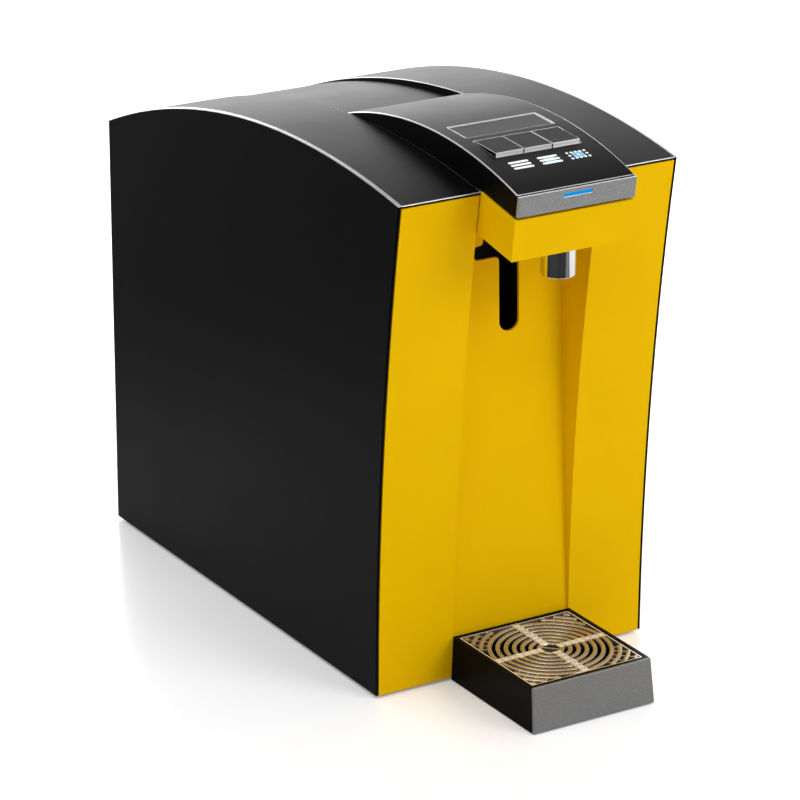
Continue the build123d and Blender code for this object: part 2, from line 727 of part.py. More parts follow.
# Buttons: caps with a level top, a lip under the hood, a post over a switch and a return spring
cap_half = (button_pitch - button_gap) / 2
spring_wire_radius = 0.4
spring_radius = 6.0
spring_turns = 5
cap_ceiling_z = hood_z(button_front_y) + button_front_rise - 2 * button_wall
spring_low_z = board_top_z + spring_wire_radius + fit_gap
spring_high_z = cap_ceiling_z - spring_wire_radius - fit_gap
for name, x in zip(button_names, button_places):
    with BuildPart() as button:
        with BuildSketch(side_plane(x - cap_half)):
            with BuildLine():
                Polyline((button_rear_y, button_bottom_z),
                         (button_rear_y, hood_z(button_rear_y) + button_rear_rise),
                         (button_front_y, hood_z(button_front_y) + button_front_rise),
                         (button_front_y, button_bottom_z), close=True)
            make_face()
        extrude(amount=2 * cap_half)
        block((x - cap_half + button_wall, button_front_y + button_wall, button_bottom_z - overrun),
              (x + cap_half - button_wall, button_rear_y - button_wall, cap_ceiling_z), mode=Mode.SUBTRACT)
        for lip_y, low, high in ((button_front_y, -button_lip, 0), (button_rear_y, 0, button_lip)):
            under_z = hood_z(lip_y + low + high, hood_wall) - seat_gap
            block((x - cap_half, lip_y + low, under_z - button_lip_height),
                  (x + cap_half, lip_y + high, under_z))
        post_z = board_top_z + switch_height + plunger_height + button_travel + fit_gap
        rod((x, button_middle_y, post_z), upwards, button_post_radius, cap_ceiling_z - post_z + fit_gap)
    save(button, name)

with BuildPart() as control_board:
    block((-board_half, board_front_y, board_top_z - board_thickness),
          (board_half, board_rear_y, board_top_z))
    for place in board_posts:
        rod((*place, board_top_z - 2 * overrun), upwards, screw_radius / 2 + fit_gap, 3 * overrun,
            mode=Mode.SUBTRACT)
save(control_board, "control_board")

with BuildPart() as board_screws:
    for place in board_posts:
        rod((*place, board_top_z - board_thickness), upwards, screw_radius / 2, board_thickness + fit_gap)
        rod((*place, board_top_z - board_thickness), downwards, screw_head_radius / 2, screw_head_height / 2)
save(board_screws, "board_screws")

with BuildPart() as button_switches:
    for x in button_places:
        with Locations((x, button_middle_y, board_top_z + switch_height / 2)):
            Box(switch_size, switch_size, switch_height)
        rod((x, button_middle_y, board_top_z + switch_height), upwards, plunger_radius, plunger_height)
save(button_switches, "button_switches")

for name, x in zip(button_names, button_places):
    with BuildPart() as spring:
        coil_height = spring_high_z - spring_low_z
        with BuildLine() as coil:
            Helix(pitch=coil_height / spring_turns, height=coil_height, radius=spring_radius,
                  center=(x, button_middle_y, spring_low_z))
        with BuildSketch(Plane(origin=coil.line @ 0, z_dir=coil.line % 0)):
            Circle(spring_wire_radius)
        sweep()
    save(spring, name.replace("button", "spring"))

# Drip tray: a drafted box with a thick rear wall for the pegs, a metal front plate and a grille
tray_half = 56.8           # at the rim
tray_height = 38.2
tray_side_draft = 1.6      # how much wider it is at the worktop on each side
tray_front_draft = 4.6
tray_bottom_z = 0.5
tray_wall = 3.0
tray_floor = 2.5
tray_rear_wall = 12.0
tray_fascia_thickness = 2.5
tray_front_y = front_y - tray_reach
tray_back_y = front_y - seat_gap
tray_rim_front_y = tray_front_y + tray_front_draft
tray_inner_front_y = tray_rim_front_y + tray_fascia_thickness + tray_wall
peg_socket_depth = 9.0
peg_reach = 8.0
grille_thickness = 3.0
grille_drop = 0.7          # how far the grille lies below the rim
grille_gap = 0.4
grille_ledge = 3.0


def tray_section(z, share):
    """Plan section of the tray at height z; share is 1 at the worktop and 0 at the rim"""
    half = tray_half + tray_side_draft * share
    fore_y = tray_rim_front_y - tray_front_draft * share
    with BuildSketch(Plane.XY.offset(z)) as section:
        with BuildLine():
            Polyline((-half, fore_y), (half, fore_y), (half, tray_back_y), (-half, tray_back_y), close=True)
        make_face()
    return section.sketch


tray_slope = math.degrees(math.atan2(tray_front_draft, tray_height - tray_bottom_z))
fascia_plane = Plane(origin=(0, tray_rim_front_y + tray_fascia_thickness, tray_height), x_dir=rightwards,
                     z_dir=(0, -math.cos(math.radians(tray_slope)), math.sin(math.radians(tray_slope))))
ledge_z = tray_height - grille_drop - grille_thickness
with BuildPart() as drip_tray:
    loft([tray_section(tray_bottom_z, 1), tray_section(tray_height, 0)], ruled=True)
    split(bisect_by=fascia_plane, keep=Keep.BOTTOM)
    block((-tray_half + tray_wall, tray_inner_front_y, ledge_z),
          (tray_half - tray_wall, tray_back_y - tray_wall, tray_height + overrun), mode=Mode.SUBTRACT)
    block((-tray_half + tray_wall + grille_ledge, tray_inner_front_y + grille_ledge,
           tray_bottom_z + tray_floor),
          (tray_half - tray_wall - grille_ledge, tray_back_y - tray_rear_wall, tray_height + overrun),
          mode=Mode.SUBTRACT)
    for side in (-1, 1):
        rod((side * peg_x, tray_back_y + overrun, peg_z), towards_front, peg_radius + peg_clearance,
            peg_socket_depth + overrun, mode=Mode.SUBTRACT)
save(drip_tray, "drip_tray")

with BuildPart() as tray_fascia:
    loft([tray_section(tray_bottom_z, 1), tray_section(tray_height, 0)], ruled=True)
    split(bisect_by=fascia_plane.offset(fit_gap), keep=Keep.TOP)
save(tray_fascia, "tray_fascia")

with BuildPart() as tray_pegs:
    for side in (-1, 1):
        rod((side * peg_x, pan_front_y - fit_gap, peg_z), towards_front, peg_radius,
            pan_front_y - fit_gap - tray_back_y + peg_reach)
save(tray_pegs, "tray_pegs")

# Grille: rings on four ribs inside a square frame
grille_half_x = tray_half - tray_wall - grille_gap
grille_front_y = tray_inner_front_y + grille_gap
grille_rear_y = tray_back_y - tray_wall - grille_gap
grille_length = grille_rear_y - grille_front_y
grille_y = (grille_rear_y + grille_front_y) / 2
grille_z = ledge_z
ring_count = 7             # rings that reach the middles of the sides
corner_ring_count = 3      # further rings that only show in the corners
ring_width = 3.8
ring_inner_radius = 7.5
ring_pitch = 6.7
rib_width = 6.4
grille_frame = 2.6
hub_bar_width = 2.0

with BuildPart() as drip_grille:
    with BuildSketch(Plane.XY.offset(grille_z)):
        with Locations((0, grille_y)):
            for index in reversed(range(ring_count + corner_ring_count)):
                Circle(ring_inner_radius + index * ring_pitch + ring_width)
                Circle(ring_inner_radius + index * ring_pitch, mode=Mode.SUBTRACT)
            Rectangle(2 * grille_half_x, rib_width)
            Rectangle(rib_width, grille_length)
            Circle(ring_inner_radius, mode=Mode.SUBTRACT)
            Rectangle(2 * ring_inner_radius + ring_width, hub_bar_width)
            Rectangle(2 * grille_half_x, grille_length, mode=Mode.INTERSECT)
    extrude(amount=grille_thickness)
    with BuildSketch(Plane.XY.offset(grille_z)):
        with Locations((0, grille_y)):
            Rectangle(2 * grille_half_x, grille_length)
            Rectangle(2 * (grille_half_x - grille_frame), grille_length - 2 * grille_frame,
                      mode=Mode.SUBTRACT)
    extrude(amount=grille_thickness)
save(drip_grille, "drip_grille")

# Back: the rear panel with its openings and screws
rear_panel_top_z = arch_z(back_y, top_sheet) - fit_gap
rear_post_x = pan_half - pan_sheet - fit_gap - post_size
fan_top_margin = 49.35     # from the top of the fan to the top of the rear panel
fan_side_gap = 17.0
fan_divider_gap = 2.0
fan_size = left_bay - fan_side_gap - fan_divider_gap
fan_x = fan_size / 2 + fan_side_gap - inner_half
fan_z = rear_panel_top_z - fan_top_margin - fan_size / 2
fan_opening_margin = 6.0
fan_opening_radius = fan_size / 2 - fan_opening_margin
port_z = 34.0
port_pitch = 26.0
port_barrel_radius = 8.0
port_clearance = 0.2
inlet_width = 27.0
inlet_post_gap = 6.1
inlet_x = inlet_post_gap + inlet_width / 2 - rear_post_x
port_inlet_pitch = 46.0
gas_port_x = inlet_x + port_inlet_pitch
water_port_x = gas_port_x + port_pitch
inlet_height = 20.0
inlet_z = 44.0
bezel_width = 21.0
bezel_height = 15.0
bezel_z = 84.0
inlet_wells = ((inlet_width, inlet_height, inlet_z), (bezel_width, bezel_height, bezel_z))
cutout_clearance = 0.2
louvre_pitch = 9.0
louvre_length = 70.0
louvre_height = 3.0
louvre_low_z = 85.0        # middle of the lowest louvre
louvre_fan_gap = 25.0      # between the louvres and the fan's opening
louvre_count = int((fan_z - fan_opening_radius - louvre_fan_gap - louvre_low_z) / louvre_pitch) + 1
rear_panel_front_y = back_y - rear_sheet
rear_screw_x = pan_half - pan_sheet - fit_gap - post_size / 2
rear_screw_shares = (0.08, 0.5, 0.92)
rear_screw_places = [(side * rear_screw_x, rear_panel_top_z * share)
                     for side in (-1, 1) for share in rear_screw_shares]

with BuildPart() as rear_panel:
    block((-pan_half, rear_panel_front_y, foot_height), (pan_half, back_y, rear_panel_top_z))
    rod((fan_x, back_y + overrun, fan_z), towards_front, fan_opening_radius, 2 * overrun + rear_sheet,
        mode=Mode.SUBTRACT)
    for port_x in (water_port_x, gas_port_x):
        rod((port_x, back_y + overrun, port_z), towards_front, port_barrel_radius + port_clearance,
            2 * overrun + rear_sheet, mode=Mode.SUBTRACT)
    for width, height, z in inlet_wells:
        block((inlet_x - width / 2 - cutout_clearance, back_y - overrun, z - height / 2 - cutout_clearance),
              (inlet_x + width / 2 + cutout_clearance, back_y + overrun, z + height / 2 + cutout_clearance),
              mode=Mode.SUBTRACT)
    for index in range(louvre_count):
        with Locations((fan_x, back_y - rear_sheet / 2, louvre_low_z + index * louvre_pitch)):
            Box(louvre_length, 2 * overrun, louvre_height, mode=Mode.SUBTRACT)
    for x, z in rear_screw_places:
        rod((x, back_y + overrun, z), towards_front, screw_radius + screw_clearance, 2 * overrun + rear_sheet,
            mode=Mode.SUBTRACT)
save(rear_panel, "rear_panel")

with BuildPart() as rear_screws:
    for x, z in rear_screw_places:
        rod((x, back_y, z), towards_back, screw_head_radius, screw_head_height)
        rod((x, back_y, z), towards_front, screw_radius, rear_sheet + fit_gap)
save(rear_screws, "rear_screws")

# Power inlet: one moulding with the socket for the lead and the well of the power switch
inlet_flange = 3.5
inlet_flange_depth = 2.0
inlet_body_depth = 22.0
well_wall = 2.5
well_depth = 15.0
prong_radius = 1.0
prong_length = 12.0
prong_pitch = 7.0
rocker_clearance = 0.4
rocker_axle_radius = 1.2
rocker_axle_clearance = 0.06
rocker_tilt = 9.0
with BuildPart() as power_inlet:
    block((inlet_x - inlet_width / 2 - inlet_flange, back_y, inlet_z - inlet_height / 2 - inlet_flange),
          (inlet_x + inlet_width / 2 + inlet_flange, back_y + inlet_flange_depth,
           bezel_z + bezel_height / 2 + inlet_flange))
    for width, height, z in inlet_wells:
        block((inlet_x - width / 2, back_y - inlet_body_depth, z - height / 2),
              (inlet_x + width / 2, back_y, z + height / 2))
        block((inlet_x - width / 2 + well_wall, back_y - well_depth, z - height / 2 + well_wall),
              (inlet_x + width / 2 - well_wall, back_y + overrun, z + height / 2 - well_wall),
              mode=Mode.SUBTRACT)
    for index in (-1, 0, 1):
        rod((inlet_x + index * prong_pitch, back_y - well_depth, inlet_z), towards_back, prong_radius,
            prong_length)
    rod((inlet_x - bezel_width / 2, back_y, bezel_z), rightwards, rocker_axle_radius, bezel_width)
save(power_inlet, "power_inlet")

# Power switch rocker: a bored cap that rocks on the axle across its well
rocker_half_x = bezel_width / 2 - well_wall - rocker_clearance
rocker_half_z = bezel_height / 2 - well_wall - rocker_clearance
rocker_rise = 2.6
rocker_drop = 2.2
rocker_plane = Plane(origin=(inlet_x - rocker_half_x, back_y, bezel_z), z_dir=rightwards,
                     x_dir=(0, math.cos(math.radians(rocker_tilt)), math.sin(math.radians(rocker_tilt))))
with BuildPart() as power_rocker:
    with BuildSketch(rocker_plane):
        with BuildLine():
            Polyline((-rocker_drop, -rocker_drop), (rocker_rise, -rocker_half_z), (rocker_drop, 0),
                     (rocker_rise, rocker_half_z), (-rocker_drop, rocker_drop), close=True)
        make_face()
    extrude(amount=2 * rocker_half_x)
    rod((inlet_x - bezel_width, back_y, bezel_z), rightwards, rocker_axle_radius + rocker_axle_clearance,
        2 * bezel_width, mode=Mode.SUBTRACT)
save(power_rocker, "power_rocker")

# Push-in ports for the mains water and the carbon dioxide line, each with a sliding release collar
port_flange_radius = 11.0
port_flange_depth = 3.0
port_tail_radius = 6.0
port_tail_length = 12.0
port_tube_radius = 3.2
port_collar_radius = 5.2
port_collar_depth = 8.0
port_collar_reach = 3.0
port_collar_lip_radius = 6.6
port_collar_travel = 1.2
port_collar_clearance = 0.08
port_end_y = back_y + rear_reach
for name, port_x in (("water_inlet", water_port_x), ("gas_inlet", gas_port_x)):
    with BuildPart() as port:
        rod((port_x, back_y - port_tail_length, port_z), towards_back, port_barrel_radius,
            port_tail_length + rear_reach - port_collar_reach)
        rod((port_x, back_y, port_z), towards_back, port_flange_radius, port_flange_depth)
        rod((port_x, back_y - port_tail_length, port_z), towards_front, port_tail_radius, port_tail_length)
        rod((port_x, port_end_y, port_z), towards_front, port_tube_radius, rear_reach + port_tail_length / 2,
            mode=Mode.SUBTRACT)
        rod((port_x, port_end_y, port_z), towards_front, port_collar_radius + port_collar_clearance,
            port_collar_depth + port_collar_reach + port_collar_travel + seat_gap, mode=Mode.SUBTRACT)
    save(port, name)
    with BuildPart() as collar:
        rod((port_x, port_end_y, port_z), towards_front, port_collar_radius,
            port_collar_reach + port_collar_depth)
        rod((port_x, port_end_y, port_z), towards_front, port_collar_lip_radius,
            port_collar_reach - port_collar_travel - seat_gap)
        rod((port_x, port_end_y + overrun, port_z), towards_front, port_tube_radius,
            port_collar_reach + port_collar_depth + 2 * overrun, mode=Mode.SUBTRACT)
    save(collar, name.replace("inlet", "collar"))

# Cooling fan behind the rear panel: frame with a cross and a pin, rotor, guard and condenser
fan_wall = 2.5
fan_bore_radius = fan_size / 2 - fan_wall
fan_hub_radius = 20.0
fan_hub_plate = 3.0
fan_strut_width = 5.0
fan_pin_radius = 2.0
fan_running_clearance = 0.05
fan_rotor_gap = 0.6
fan_blade_count = 7
fan_blade_clearance = 2.0
fan_blade_tip_radius = fan_bore_radius - fan_blade_clearance
fan_blade_thickness = 2.0
fan_blade_pitch = 35.0
fan_blade_width = 24.0
fan_back_y = rear_panel_front_y - fit_gap
fan_rotor_depth = fan_depth - fan_hub_plate - 2 * fan_rotor_gap
with BuildPart() as fan_frame:
    block((fan_x - fan_size / 2, fan_back_y - fan_depth, fan_z - fan_size / 2),
          (fan_x + fan_size / 2, fan_back_y, fan_z + fan_size / 2))
    rod((fan_x, fan_back_y + overrun, fan_z), towards_front, fan_bore_radius, fan_depth + 2 * overrun,
        mode=Mode.SUBTRACT)
    block((fan_x - fan_bore_radius - seat_gap, fan_back_y - fan_hub_plate, fan_z - fan_strut_width / 2),
          (fan_x + fan_bore_radius + seat_gap, fan_back_y, fan_z + fan_strut_width / 2))
    block((fan_x - fan_strut_width / 2, fan_back_y - fan_hub_plate, fan_z - fan_bore_radius - seat_gap),
          (fan_x + fan_strut_width / 2, fan_back_y, fan_z + fan_bore_radius + seat_gap))
    rod((fan_x, fan_back_y, fan_z), towards_front, fan_hub_radius, fan_hub_plate)
    rod((fan_x, fan_back_y, fan_z), towards_front, fan_pin_radius, fan_depth - fan_rotor_gap)
save(fan_frame, "fan_frame")

blade_middle = (fan_hub_radius + fan_blade_tip_radius - fan_blade_thickness) / 2
blade_length = fan_blade_tip_radius - fan_hub_radius + fan_blade_thickness
with BuildPart() as fan_rotor:
    rotor_y = fan_back_y - fan_hub_plate - fan_rotor_gap
    rod((fan_x, rotor_y, fan_z), towards_front, fan_hub_radius, fan_rotor_depth)
    with Locations(Plane(origin=(fan_x, rotor_y - fan_rotor_depth / 2, fan_z), z_dir=towards_back).location):
        with PolarLocations(blade_middle, fan_blade_count):
            Box(blade_length, fan_blade_width, fan_blade_thickness, rotation=(fan_blade_pitch, 0, 0))
    rod((fan_x, fan_back_y + overrun, fan_z), towards_front, fan_pin_radius + fan_running_clearance,
        fan_depth + 2 * overrun, mode=Mode.SUBTRACT)
save(fan_rotor, "fan_rotor")

guard_wire = 2.0
guard_ring_shares = (0.3, 0.52, 0.74, 0.96)
guard_reach = fan_opening_radius + 2 * guard_wire
with BuildPart() as fan_guard:
    with BuildSketch(Plane.XZ.offset(-back_y)):
        with Locations((fan_x, fan_z)):
            for share in reversed(guard_ring_shares):
                radius = fan_opening_radius * share
                Circle(radius)
                Circle(radius - guard_wire, mode=Mode.SUBTRACT)
            Rectangle(2 * guard_reach, guard_wire)
            Rectangle(guard_wire, 2 * guard_reach)
    extrude(amount=-guard_wire)
save(fan_guard, "fan_guard")

condenser_side_margin = 3.0
condenser_end_reach = 6.0
condenser_half_x = fan_size / 2 - condenser_side_margin
condenser_half_z = fan_size / 2 + condenser_end_reach
condenser_fin_count = 24
condenser_fin_thickness = 1.0
condenser_tube_radius = 3.5
condenser_tube_share = 0.75
condenser_back_y = fan_back_y - fan_depth - fit_gap
condenser_low_z = fan_z - condenser_half_z
condenser_middle_y = condenser_back_y - condenser_depth / 2
fin_pitch = (2 * condenser_half_z - condenser_fin_thickness) / (condenser_fin_count - 1)
with BuildPart() as condenser:
    for index in range(condenser_fin_count):
        fin_z = condenser_low_z + index * fin_pitch
        block((fan_x - condenser_half_x, condenser_back_y - condenser_depth, fin_z),
              (fan_x + condenser_half_x, condenser_back_y, fin_z + condenser_fin_thickness))
    for side in (-1, 1):
        for share in (condenser_tube_share, condenser_tube_share / 3):
            rod((fan_x + side * condenser_half_x * share, condenser_middle_y, condenser_low_z), upwards,
                condenser_tube_radius, 2 * condenser_half_z)
save(condenser, "condenser")

# Compressor on four rubber mounts
mount_radius = 8.0
mount_height = 9.0
mount_offset = compressor_radius - mount_radius
mount_places = [(compressor_x + side_x * mount_offset, compressor_y + side_y * mount_offset)
                for side_x in (-1, 1) for side_y in (-1, 1)]
compressor_foot_thickness = 3.0
compressor_dome = 22.0
condenser_headroom = 64.8  # between the compressor's top and the condenser's lower end
compressor_z = pan_floor_z + mount_height + fit_gap
compressor_top_z = condenser_low_z - condenser_headroom
compressor_height = compressor_top_z - compressor_z
with BuildPart() as compressor_mounts:
    for place in mount_places:
        rod((*place, pan_floor_z), upwards, mount_radius, mount_height)
save(compressor_mounts, "compressor_mounts")

with BuildPart() as compressor:
    rod((compressor_x, compressor_y, compressor_z), upwards, compressor_radius, compressor_height)
    fillet(compressor.edges().filter_by(GeomType.CIRCLE).group_by(Axis.Z)[-1], radius=compressor_dome)
    block((compressor_x - mount_offset - mount_radius, compressor_y - mount_offset - mount_radius,
           compressor_z),
          (compressor_x + mount_offset + mount_radius, compressor_y + mount_offset + mount_radius,
           compressor_z + compressor_foot_thickness))
save(compressor, "compressor")

# Cold tank inside an open-topped foam jacket
tank_wall = 1.0
tank_drop = 122.0          # from the highest point of the casing down to the tank
tank_high_z = case_height - tank_drop
jacket_thickness = 13.0
tank_radius = jacket_radius - jacket_thickness
tank_x = jacket_radius + tank_side_gap - inner_half
neck_radius = 6.0
neck_height = 16.0
neck_offset = 20.0
tank_low_z = pan_floor_z + jacket_thickness + fit_gap
with BuildPart() as tank_jacket:
    rod((tank_x, tank_y, pan_floor_z), upwards, tank_radius + jacket_thickness, tank_high_z - pan_floor_z)
    rod((tank_x, tank_y, tank_low_z - fit_gap), upwards, tank_radius + fit_gap, tank_high_z,
        mode=Mode.SUBTRACT)
save(tank_jacket, "tank_jacket")

with BuildPart() as cold_tank:
    rod((tank_x, tank_y, tank_low_z), upwards, tank_radius, tank_high_z - tank_low_z)
    for side in (-1, 1):
        rod((tank_x + side * neck_offset, tank_y, tank_high_z), upwards, neck_radius, neck_height)
    rod((tank_x, tank_y, tank_low_z + tank_wall), upwards, tank_radius - tank_wall,
        tank_high_z - tank_low_z - 2 * tank_wall, mode=Mode.SUBTRACT)
    for side in (-1, 1):
        rod((tank_x + side * neck_offset, tank_y, tank_high_z - overrun), upwards, port_tube_radius,
            neck_height + 2 * overrun, mode=Mode.SUBTRACT)
save(cold_tank, "cold_tank")

# Divider: an upright plate that carries the water parts on its right side
divider_sheet = 1.6
divider_rear_gap = 12.5
divider_setback = 52.0     # behind the front of the casing
divider_rail_gap = 14.0
divider_top_z = rail_top(rear_rail_y) - rail_height - divider_rail_gap
divider_foot = 14.0
divider_hole_radius = 5.0
divider_rear_y = rear_panel_front_y - divider_rear_gap
divider_front_y = front_y + divider_setback
carrier_x = divider_x + divider_sheet + fit_gap
tube_lane = 7.2            # from the divider's right face to the first upright tube
tube_x = carrier_x + tube_lane
outer_tube_gap = 12.0
outer_tube_x = inner_half - outer_tube_gap
lane_half = (outer_tube_x - tube_x) / 2
lane_x = (outer_tube_x + tube_x) / 2
filter_x = lane_x
filter_inset = 62.0
filter_y = back_y - filter_inset
gas_line_inset = 39.0
gas_line_y = back_y - gas_line_inset
gas_line_z = 52.0
valve_setback = 92.0       # from the front of the casing to the rear of the valve block
valve_rear_y = front_y + valve_setback
supply_inset = 215.0
supply_valve_gap = 13.0
supply_rear_y = back_y - supply_inset
supply_length = supply_rear_y - valve_rear_y - supply_valve_gap
main_board_standoff = 6.0
main_board_drop = 125.0    # from the top of the divider to the lower edge of the board
main_board_low_z = divider_top_z - main_board_drop
main_board_height = 90.0
main_board_inset = 7.0
main_board_x = carrier_x + main_board_standoff
standoff_radius = 2.6
with BuildPart() as divider:
    block((divider_x, divider_front_y, pan_floor_z),
          (divider_x + divider_sheet, divider_rear_y, divider_top_z))
    block((divider_x, divider_front_y, pan_floor_z),
          (divider_x + divider_foot, divider_rear_y, pan_floor_z + divider_sheet))
    for y in (supply_rear_y - main_board_inset, supply_rear_y - supply_length + main_board_inset):
        for z in (main_board_low_z + main_board_inset,
                  main_board_low_z + main_board_height - main_board_inset):
            rod((divider_x, y, z), rightwards, standoff_radius, main_board_x - fit_gap - divider_x)
    for y, z in ((filter_y, port_z), (gas_line_y, gas_line_z)):
        rod((divider_x - overrun, y, z), rightwards, divider_hole_radius, divider_sheet + 2 * overrun,
            mode=Mode.SUBTRACT)
save(divider, "divider")

# Filter: a head on its bracket, and a cartridge that turns in the head's socket
filter_low_z = 68.0
filter_drop = 182.0        # from the highest point of the casing to the cartridge's shoulder
filter_shoulder_z = case_height - filter_drop
filter_neck_height = 20.0
filter_lane_gap = 17.0     # from the cartridge to the tubes on both sides
filter_radius = lane_half - filter_lane_gap
filter_edge = 5.0
filter_shoulder = 9.0
filter_neck_radius = filter_radius - filter_shoulder
filter_running_clearance = 0.06
filter_grip_depth = 8.0
filter_grip_thickness = 6.0
head_height = 40.0
head_step = 2.0
head_radius = filter_radius - head_step
head_arm_radius = 5.0
head_arm_gap = 12.0
head_arm_length = lane_half - head_arm_gap
head_arm_height = 30.0
bracket_sheet = 2.0
bracket_half_y = 26.0
bracket_drop = 13.0
head_low_z = filter_shoulder_z + seat_gap
head_high_z = head_low_z + head_height
head_arm_z = head_low_z + head_arm_height
with BuildPart() as filter_head:
    rod((filter_x, filter_y, head_low_z), upwards, head_radius, head_height)
    rod((filter_x - head_arm_length, filter_y, head_arm_z), rightwards, head_arm_radius, 2 * head_arm_length)
    rod((filter_x, filter_y, head_low_z - overrun), upwards, filter_neck_radius + filter_running_clearance,
        filter_neck_height + overrun, mode=Mode.SUBTRACT)
    block((carrier_x, filter_y - bracket_half_y, head_high_z),
          (filter_x + head_radius, filter_y + bracket_half_y, head_high_z + bracket_sheet))
    block((carrier_x, filter_y - bracket_half_y, head_high_z - bracket_drop),
          (carrier_x + bracket_sheet, filter_y + bracket_half_y, head_high_z))
save(filter_head, "filter_head")

with BuildPart() as filter_cartridge:
    rod((filter_x, filter_y, filter_low_z), upwards, filter_radius, filter_shoulder_z - filter_low_z)
    fillet(filter_cartridge.edges().filter_by(GeomType.CIRCLE), radius=filter_edge)
    rod((filter_x, filter_y, filter_shoulder_z), upwards, filter_neck_radius, filter_neck_height)
    block((filter_x - filter_neck_radius, filter_y - filter_grip_thickness / 2,
           filter_low_z - filter_grip_depth),
          (filter_x + filter_neck_radius, filter_y + filter_grip_thickness / 2, filter_low_z + filter_edge))
save(filter_cartridge, "filter_cartridge")

# Carbonator: an upright pressure vessel with two necks
carbonator_inset = 152.0
carbonator_side_gap = 18.0
carbonator_left_gap = 14.0 # from the first upright tube
carbonator_radius = (inner_half - carbonator_side_gap - tube_x - carbonator_left_gap) / 2
carbonator_x = inner_half - carbonator_side_gap - carbonator_radius
carbonator_height = 230.0
carbonator_dome = 14.0
carbonator_neck_offset = 12.0
carbonator_neck_radius = 5.0
carbonator_neck_height = 14.0
carbonator_y = back_y - carbonator_inset
carbonator_top_z = pan_floor_z + carbonator_height
carbonator_wall = 2.0


def vessel(inset):
    """The domed vessel, or its hollow when inset by its wall"""
    with BuildPart() as form:
        rod((carbonator_x, carbonator_y, pan_floor_z + inset), upwards, carbonator_radius - inset,
            carbonator_height - 2 * inset)
        fillet(form.edges().filter_by(GeomType.CIRCLE), radius=carbonator_dome - inset)
    return form.part


with BuildPart() as carbonator:
    add(vessel(0))
    for side in (-1, 1):
        rod((carbonator_x + side * carbonator_neck_offset, carbonator_y,
             carbonator_top_z - carbonator_neck_radius), upwards, carbonator_neck_radius,
            carbonator_neck_radius + carbonator_neck_height)
    add(vessel(carbonator_wall), mode=Mode.SUBTRACT)
    for side in (-1, 1):
        rod((carbonator_x + side * carbonator_neck_offset, carbonator_y, carbonator_top_z - carbonator_dome),
            upwards, carbonator_neck_radius - carbonator_wall,
            carbonator_dome + carbonator_neck_height + overrun, mode=Mode.SUBTRACT)
save(carbonator, "carbonator")

# Pump: motor, head with two ports and a base
pump_shift = 2.0           # to the left of the middle of its lane
pump_x = lane_x - pump_shift
pump_inset = 212.0
pump_z = 42.0
pump_motor_gap = 19.0
pump_motor_radius = lane_half - pump_motor_gap
pump_motor_length = 96.0
pump_head_gap = 25.0
pump_head_half = lane_half - pump_head_gap
pump_head_length = 34.0
pump_port_reach = 10.0
pump_base_share = 0.6
pump_rear_y = back_y - pump_inset
pump_head_y = pump_rear_y - pump_motor_length - pump_head_length / 2
pump_base_half = pump_motor_radius * pump_base_share
with BuildPart() as pump:
    block((pump_x - pump_base_half, pump_rear_y - pump_motor_length, pan_floor_z),
          (pump_x + pump_base_half, pump_rear_y, pump_z))
    rod((pump_x, pump_rear_y, pump_z), towards_front, pump_motor_radius, pump_motor_length)
    block((pump_x - pump_head_half, pump_head_y - pump_head_length / 2, pump_z - pump_head_half),
          (pump_x + pump_head_half, pump_head_y + pump_head_length / 2, pump_z + pump_head_half))
    rod((pump_x - pump_head_half - pump_port_reach, pump_head_y, pump_z), rightwards, head_arm_radius,
        2 * (pump_head_half + pump_port_reach))
save(pump, "pump")

# Power supply and main board
supply_width = 44.0
supply_low_z = 96.0
supply_board_gap = 25.0
supply_height = main_board_low_z - supply_board_gap - supply_low_z
chip_half = 11.0
chip_height = 3.2
chip_shares = ((0.3, 0.3), (0.55, 0.65), (0.8, 0.4))
with BuildPart() as power_supply:
    block((carrier_x, supply_rear_y - supply_length, supply_low_z),
          (carrier_x + supply_width, supply_rear_y, supply_low_z + supply_height))
save(power_supply, "power_supply")

with BuildPart() as main_board:
    board_face_x = main_board_x + board_thickness
    block((main_board_x, supply_rear_y - supply_length, main_board_low_z),
          (board_face_x, supply_rear_y, main_board_low_z + main_board_height))
    for share_y, share_z in chip_shares:
        chip_y = supply_rear_y - supply_length * share_y
        chip_z = main_board_low_z + main_board_height * share_z
        block((board_face_x, chip_y - chip_half, chip_z - chip_half),
              (board_face_x + chip_height, chip_y + chip_half, chip_z + chip_half))
save(main_board, "main_board")

# Valve block with three coils on top
valve_length = 38.0
valve_tube_gap = 16.0      # from the carbonator's right neck to the upright tube that feeds it
valve_tube_x = carbonator_x + carbonator_neck_offset + valve_tube_gap
valve_tube_run = 27.2      # from the block to the upright tube beside it
valve_width = valve_tube_x - valve_tube_run - carrier_x
valve_drop = 114.0         # from the top of the divider to the lower side of the block
valve_low_z = divider_top_z - valve_drop
valve_height = 34.0
coil_count = 3
coil_margin = 1.0
coil_height = 32.0
coil_pitch = valve_width / coil_count - coil_margin
coil_radius = coil_pitch / 2 - coil_margin
valve_middle_y = valve_rear_y - valve_length / 2
valve_front_y = valve_rear_y - valve_length
valve_top_z = valve_low_z + valve_height
with BuildPart() as valve_block:
    block((carrier_x, valve_front_y, valve_low_z), (carrier_x + valve_width, valve_rear_y, valve_top_z))
    for index in range(coil_count):
        rod((carrier_x + valve_width / 2 + (index - 1) * coil_pitch, valve_middle_y + coil_radius,
             valve_top_z), upwards, coil_radius, coil_height)
save(valve_block, "valve_block")

